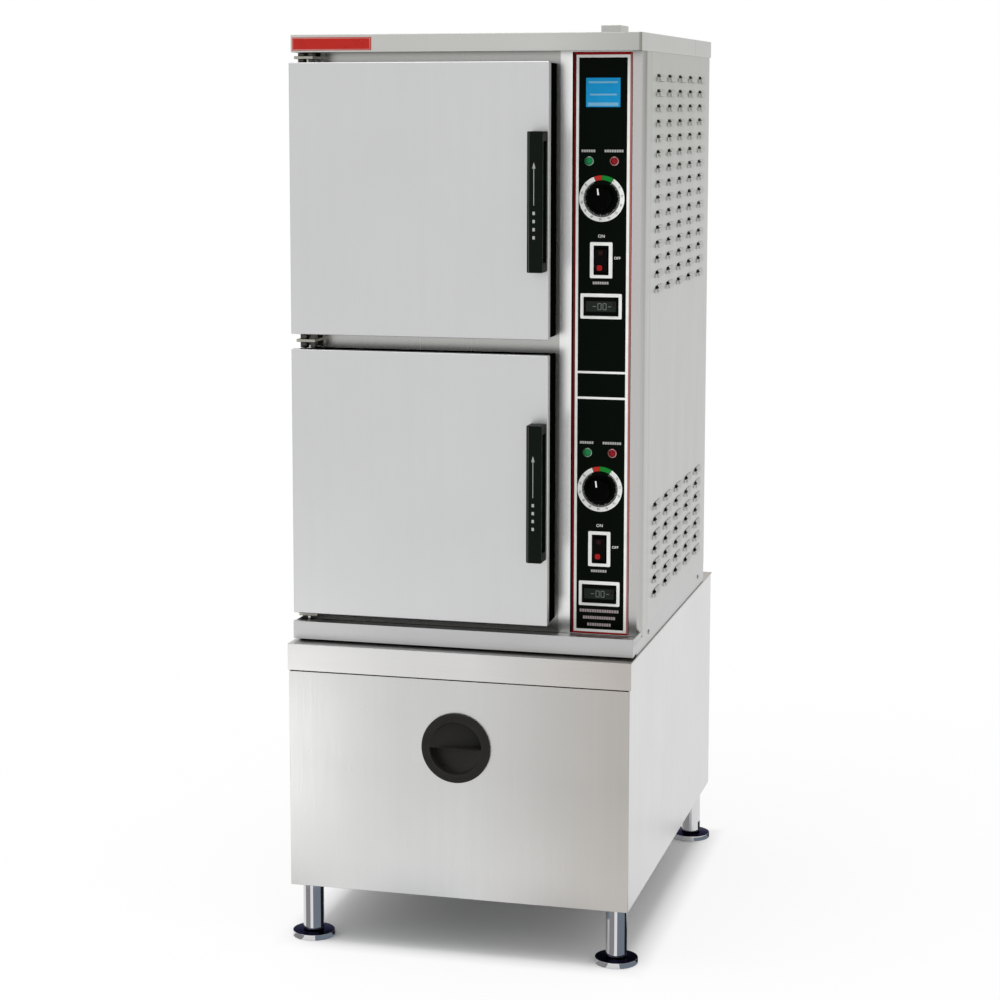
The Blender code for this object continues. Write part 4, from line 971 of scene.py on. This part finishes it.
def add_louvre(bm, face, start, top):
    """A hood pressed out of the sheet, steep in front and long behind, open at its upper front."""
    across, down = 18, 7
    front_reach, rear_reach = 0.0035, 0.026
    open_across, open_down = 6, 3
    rows = []
    for v in range(down + 1):
        share = v / down
        rise = math.sin(share * TURN / 4)
        row = []
        for u in range(across + 1):
            along = LOUVRE_LENGTH * (0.5 - 0.5 * math.cos(u / across * TURN / 2))
            reach = min(along / front_reach, (LOUVRE_LENGTH - along) / rear_reach, 1.0)
            out = LOUVRE_PROUD * rise * math.sqrt(max(0.0, 1 - (1 - reach) ** 2))
            row.append(bm.verts.new((face + out, start + along, top - share * LOUVRE_HEIGHT)))
        rows.append(row)
    for v, (upper, lower) in enumerate(zip(rows, rows[1:])):
        for u in range(across):
            if v >= open_down or u >= open_across:
                bm.faces.new((upper[u], upper[u + 1], lower[u + 1], lower[u]))


def side_panel():
    """The right panel: a sheet with two groups of louvres in five columns."""
    low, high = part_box("right_side_panel")
    face = high[0] - LOUVRE_PROUD
    columns, upper_rows, lower_rows = 5, 15, 7
    upper_top, lowest_top = 1.5210, low[2] + 0.0502
    front_margin, rear_margin = 0.0527, 0.0544
    tops = [upper_top - LOUVRE_PITCH * k for k in range(upper_rows)]
    tops += [lowest_top + LOUVRE_PITCH * k for k in range(lower_rows)]
    first, last = low[1] + front_margin, high[1] - rear_margin - LOUVRE_LENGTH
    starts = [first + (last - first) * k / (columns - 1) for k in range(columns)]
    ys = sorted([low[1], high[1]] + starts + [start + LOUVRE_LENGTH for start in starts])
    zs = sorted([low[2], high[2]] + tops + [top - LOUVRE_HEIGHT for top in tops])
    bm = bmesh.new()
    corners = {(y, z): bm.verts.new((face, y, z)) for y in ys for z in zs}
    holes = {(start, top - LOUVRE_HEIGHT) for start in starts for top in tops}
    for y_a, y_b in zip(ys, ys[1:]):
        for z_a, z_b in zip(zs, zs[1:]):
            if (y_a, z_a) not in holes:
                bm.faces.new([corners[spot] for spot in ((y_a, z_a), (y_b, z_a), (y_b, z_b), (y_a, z_b))])
    for start in starts:
        for top in tops:
            add_louvre(bm, face, start, top)
    for edge in bm.edges:
        edge.smooth = not edge.is_boundary
    mesh = mesh_of("right_side_panel_pressed", bm)
    mesh.materials.append(side_steel)
    mesh.shade_smooth()
    piece = placed("right_side_panel_pressed", mesh)
    sheet = piece.modifiers.new("sheet", "SOLIDIFY")
    sheet.thickness = 0.0012
    sheet.offset = -1
    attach(piece, "cabinet")
    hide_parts("right_side_panel")


side_panel()


# Fasteners
def add_moved(bm, shape, matrix):
    """Adds a small shape to a piece at its place."""
    shape.transform(matrix)
    mesh = mesh_of("small_part", shape)
    bm.from_mesh(mesh)
    bpy.data.meshes.remove(mesh)


def screws(name, places, radius, material):
    """Round-headed screws, each at a point with the way it faces."""
    profile = [(radius, 0.0003), (radius, -0.0005), (radius * 0.8, -0.0012)]
    profile += [(radius * 0.4, -0.0016), (0, -0.0017)]
    bm = bmesh.new()
    for centre, way in places:
        turn = Vector((0, -1, 0)).rotation_difference(Vector(way)).to_matrix().to_4x4()
        shape = bmesh.new()
        add_turned(shape, profile, (0, 0), steps=20)
        add_moved(bm, shape, Matrix.Translation(centre) @ turn)
    linked(name, bm, material, "cabinet", smooth=40)


def hinge_blocks():
    """The black collars round the hinge pins and the stop blocks beside them, from the top down; black parts
    that also stand in for the shade between the hinge plates.
    """
    pin_x, pin_y, _ = pivot_of["upper_door_hinge"]
    collars = ((1.5416, 1.5468), (1.5522, 1.5574), (1.0506, 1.0603), (1.0657, 1.0754), (0.5812, 0.5846))
    stops = ((1.5420, 1.5470), (1.5520, 1.5572), (1.0512, 1.0605), (1.0655, 1.0748), (0.5810, 0.5842))
    inner, outer, chamfer = 0.0042, 0.0076, 0.0004
    bm = bmesh.new()
    upright = Matrix.Translation((pin_x, pin_y, 0)) @ Matrix.Rotation(TURN / 4, 4, "X")
    for low, high in collars:
        profile = [(inner, low), (outer - chamfer, low), (outer, low + 0.0006)]
        profile += [(outer, high - 0.0006), (outer - chamfer, high), (inner, high)]
        collar = bmesh.new()
        add_turned(collar, profile, (0, 0), steps=28)
        add_moved(bm, collar, upright)
    linked("hinge_collars", bm, hinge_black_and_shade, "cabinet", smooth=40)
    left, right, front, rear = -0.2764, -0.2684, -0.3600, -0.3450
    bm = bmesh.new()
    for low, high in stops:
        add_prism(bm, rectangle(left, front, right, rear), low, high, upright=True)
    rounded_edges(linked("hinge_stops", bm, hinge_black_and_shade, "cabinet"), 0.0006)


hinge_blocks()
pan_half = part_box("bottom_pan")[1][0]
rear_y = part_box("rear_panel")[1][1]
flange_z, flange_ys, rear_x, rear_zs = 0.5565, (-0.247, 0.265), 0.287, (0.62, 0.86, 1.10, 1.34, 1.54)
for name, side in (("flange_screws_right", 1), ("flange_screws_left", -1)):
    screws(name, [((side * pan_half, y, flange_z), (side, 0, 0)) for y in flange_ys], 0.0042, hinge_steel)
rear_spots = [(side * rear_x, rear_y, z) for side in (-1, 1) for z in rear_zs]
screws("rear_screws", [(spot, (0, 1, 0)) for spot in rear_spots], 0.0038, highlight_and_screw_grey)


# Stage
def floor_material():
    """A pale floor: the full shadow under the object, a faint one beside it, white to the eye further out."""
    material, tree, shader = principled("floor_white", (0.93, 0.93, 0.925), 0.9, specular=0.1)
    seen = calculated(tree, "MAXIMUM", *rays(tree))
    parts = axes(tree)
    sides = []
    for axis, half in (("X", 0.31), ("Y", 0.42)):
        outward = calculated(tree, "ABSOLUTE", parts[axis])
        sides.append(calculated(tree, "SUBTRACT", outward, half))
    distance = calculated(tree, "MAXIMUM", *sides)
    near = spread(tree, distance, 0.0, 0.85, -0.03, 0.03)
    far = spread(tree, distance, 0.0, 0.15, 0.2, 1.8)
    amount = calculated(tree, "MULTIPLY", calculated(tree, "ADD", near, far), seen)
    mix = tree.nodes.new("ShaderNodeMixShader")
    tree.links.new(amount, mix.inputs["Fac"])
    tree.links.new(shader.outputs[0], mix.inputs[1])
    tree.links.new(emission(tree, (1, 1, 1)), mix.inputs[2])
    tree.links.new(mix.outputs[0], tree.nodes["Material Output"].inputs["Surface"])
    return material


def stage():
    """The floor, just below the feet."""
    bm = bmesh.new()
    bmesh.ops.create_circle(bm, cap_ends=True, radius=60, segments=96)
    mesh = mesh_of("floor", bm)
    mesh.materials.append(floor_material())
    floor = placed("floor", mesh)
    floor.location.z = -0.0005


# How bright the world is in a mirror, by the angle round the object: 0 is in front, 90 on the right
AROUND = (
    (-180, 0.90), (-150, 0.85), (-100, 0.60), (-62, 0.55), (-46, 0.95), (18, 1.0),
    (32, 0.66), (75, 0.50), (95, 0.42), (130, 0.42), (152, 0.90), (180, 0.90),
)


def world():
    """White to the eye, plain for soft light, and graded by height and angle for mirrors."""
    item = bpy.data.worlds.new("studio")
    bpy.context.scene.world = item
    item.use_nodes = True
    tree = item.node_tree
    parts = axes(tree, "Generated")
    height = spread(tree, parts["Z"], 1.0, 0.12, 0.30, 0.85)
    front = calculated(tree, "MULTIPLY", parts["Y"], -1.0)
    angle = calculated(tree, "ARCTAN2", parts["X"], front)
    ramp = tree.nodes.new("ShaderNodeValToRGB")
    tree.links.new(spread(tree, angle, 0, 1, -TURN / 2, TURN / 2), ramp.inputs["Fac"])
    ramp.color_ramp.elements[0].position = 0
    for degrees, _ in AROUND[1:-1]:
        ramp.color_ramp.elements.new((degrees + 180) / 360)
    for element, (degrees, level) in zip(ramp.color_ramp.elements, AROUND):
        element.position = (degrees + 180) / 360
        element.color = (level, level, level, 1)
    graded = calculated(tree, "MULTIPLY", height, ramp.outputs["Color"])
    camera_ray, mirrored = rays(tree)
    strength = 0.85
    for factor, other in ((mirrored, graded), (camera_ray, 1.0)):
        strength = blended(tree, factor, strength, other)
    background = tree.nodes["Background"]
    background.inputs["Color"].default_value = (1, 1, 1, 1)
    tree.links.new(strength, background.inputs["Strength"])


def area_lamp(name, place, target, size, power):
    """A rectangular lamp that shines from a place at a target."""
    data = bpy.data.lights.new(name, "AREA")
    data.shape = "RECTANGLE"
    data.size, data.size_y = size
    data.energy = power
    item = placed(name, data)
    item.visible_camera = False
    item.location = place
    item.rotation_euler = (Vector(target) - Vector(place)).to_track_quat("-Z", "Y").to_euler()


def cards():
    """Grey cards flat on the floor round each leg, seen only in polished steel."""
    tones = ((0.30, 0.30, 0.31), (0.20, 0.24, 0.29), (0.012, 0.012, 0.018))
    # Where each card starts and ends, in degrees round a leg from the front to the right
    wedges = ((-66, -20), (22, 96), (96, 150))
    near, steps, lift = 0.019, 10, 0.0002
    # How far each leg's three cards reach, in metres
    reaches = {
        "front_left": (0.31, 0.31, 0.31),
        "rear_left": (0.06, 0.06, 0.06),
        "front_right": (0.31, 0.31, 0.31),
        "rear_right": (0.31, 0.06, 0.12),
    }
    bm = bmesh.new()
    for corner, fars in reaches.items():
        low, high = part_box(f"leg_{corner}")
        x, y = (low[0] + high[0]) / 2, (low[1] + high[1]) / 2
        for index, ((start, end), far) in enumerate(zip(wedges, fars)):
            angles = [math.radians(start + (end - start) * k / steps) for k in range(steps + 1)]
            for a, b in zip(angles, angles[1:]):
                corners = [(near, a), (far, a), (far, b), (near, b)]
                verts = [bm.verts.new((x + r * math.sin(t), y - r * math.cos(t), lift)) for r, t in corners]
                bm.faces.new(verts).material_index = index
    mesh = mesh_of("floor_cards", bm)
    for k, tone in enumerate(tones):
        card = bpy.data.materials.new(f"card_{k}")
        card.use_nodes = True
        tree = card.node_tree
        tree.links.new(emission(tree, tone), tree.nodes["Material Output"].inputs["Surface"])
        mesh.materials.append(card)
    item = placed("floor_cards", mesh)
    item.visible_camera = False
    item.visible_diffuse = False
    item.visible_shadow = False
    item.visible_transmission = False


def camera():
    """The photograph's camera, fitted to the corners of the object."""
    data = bpy.data.cameras.new("camera")
    data.lens = 87.37
    data.sensor_width = 36
    data.shift_x = 0.04
    data.shift_y = -0.08
    item = placed("camera", data)
    item.location = (1.0712, -4.3436, 1.4693)
    item.rotation_euler = (1.44160879, 0.000804799, 0.264406723)
    bpy.context.scene.camera = item


stage()
world()
cards()
area_lamp("overhead", (-0.6, -1.2, 4.6), (0, 0, 0.9), (3.0, 3.0), 70)
area_lamp("low_left", (-0.72, -1.05, 0.17), (-0.45, -0.42, 0.30), (0.55, 0.30), 0.45)
camera()
bpy.context.scene.view_settings.view_transform = "Standard"
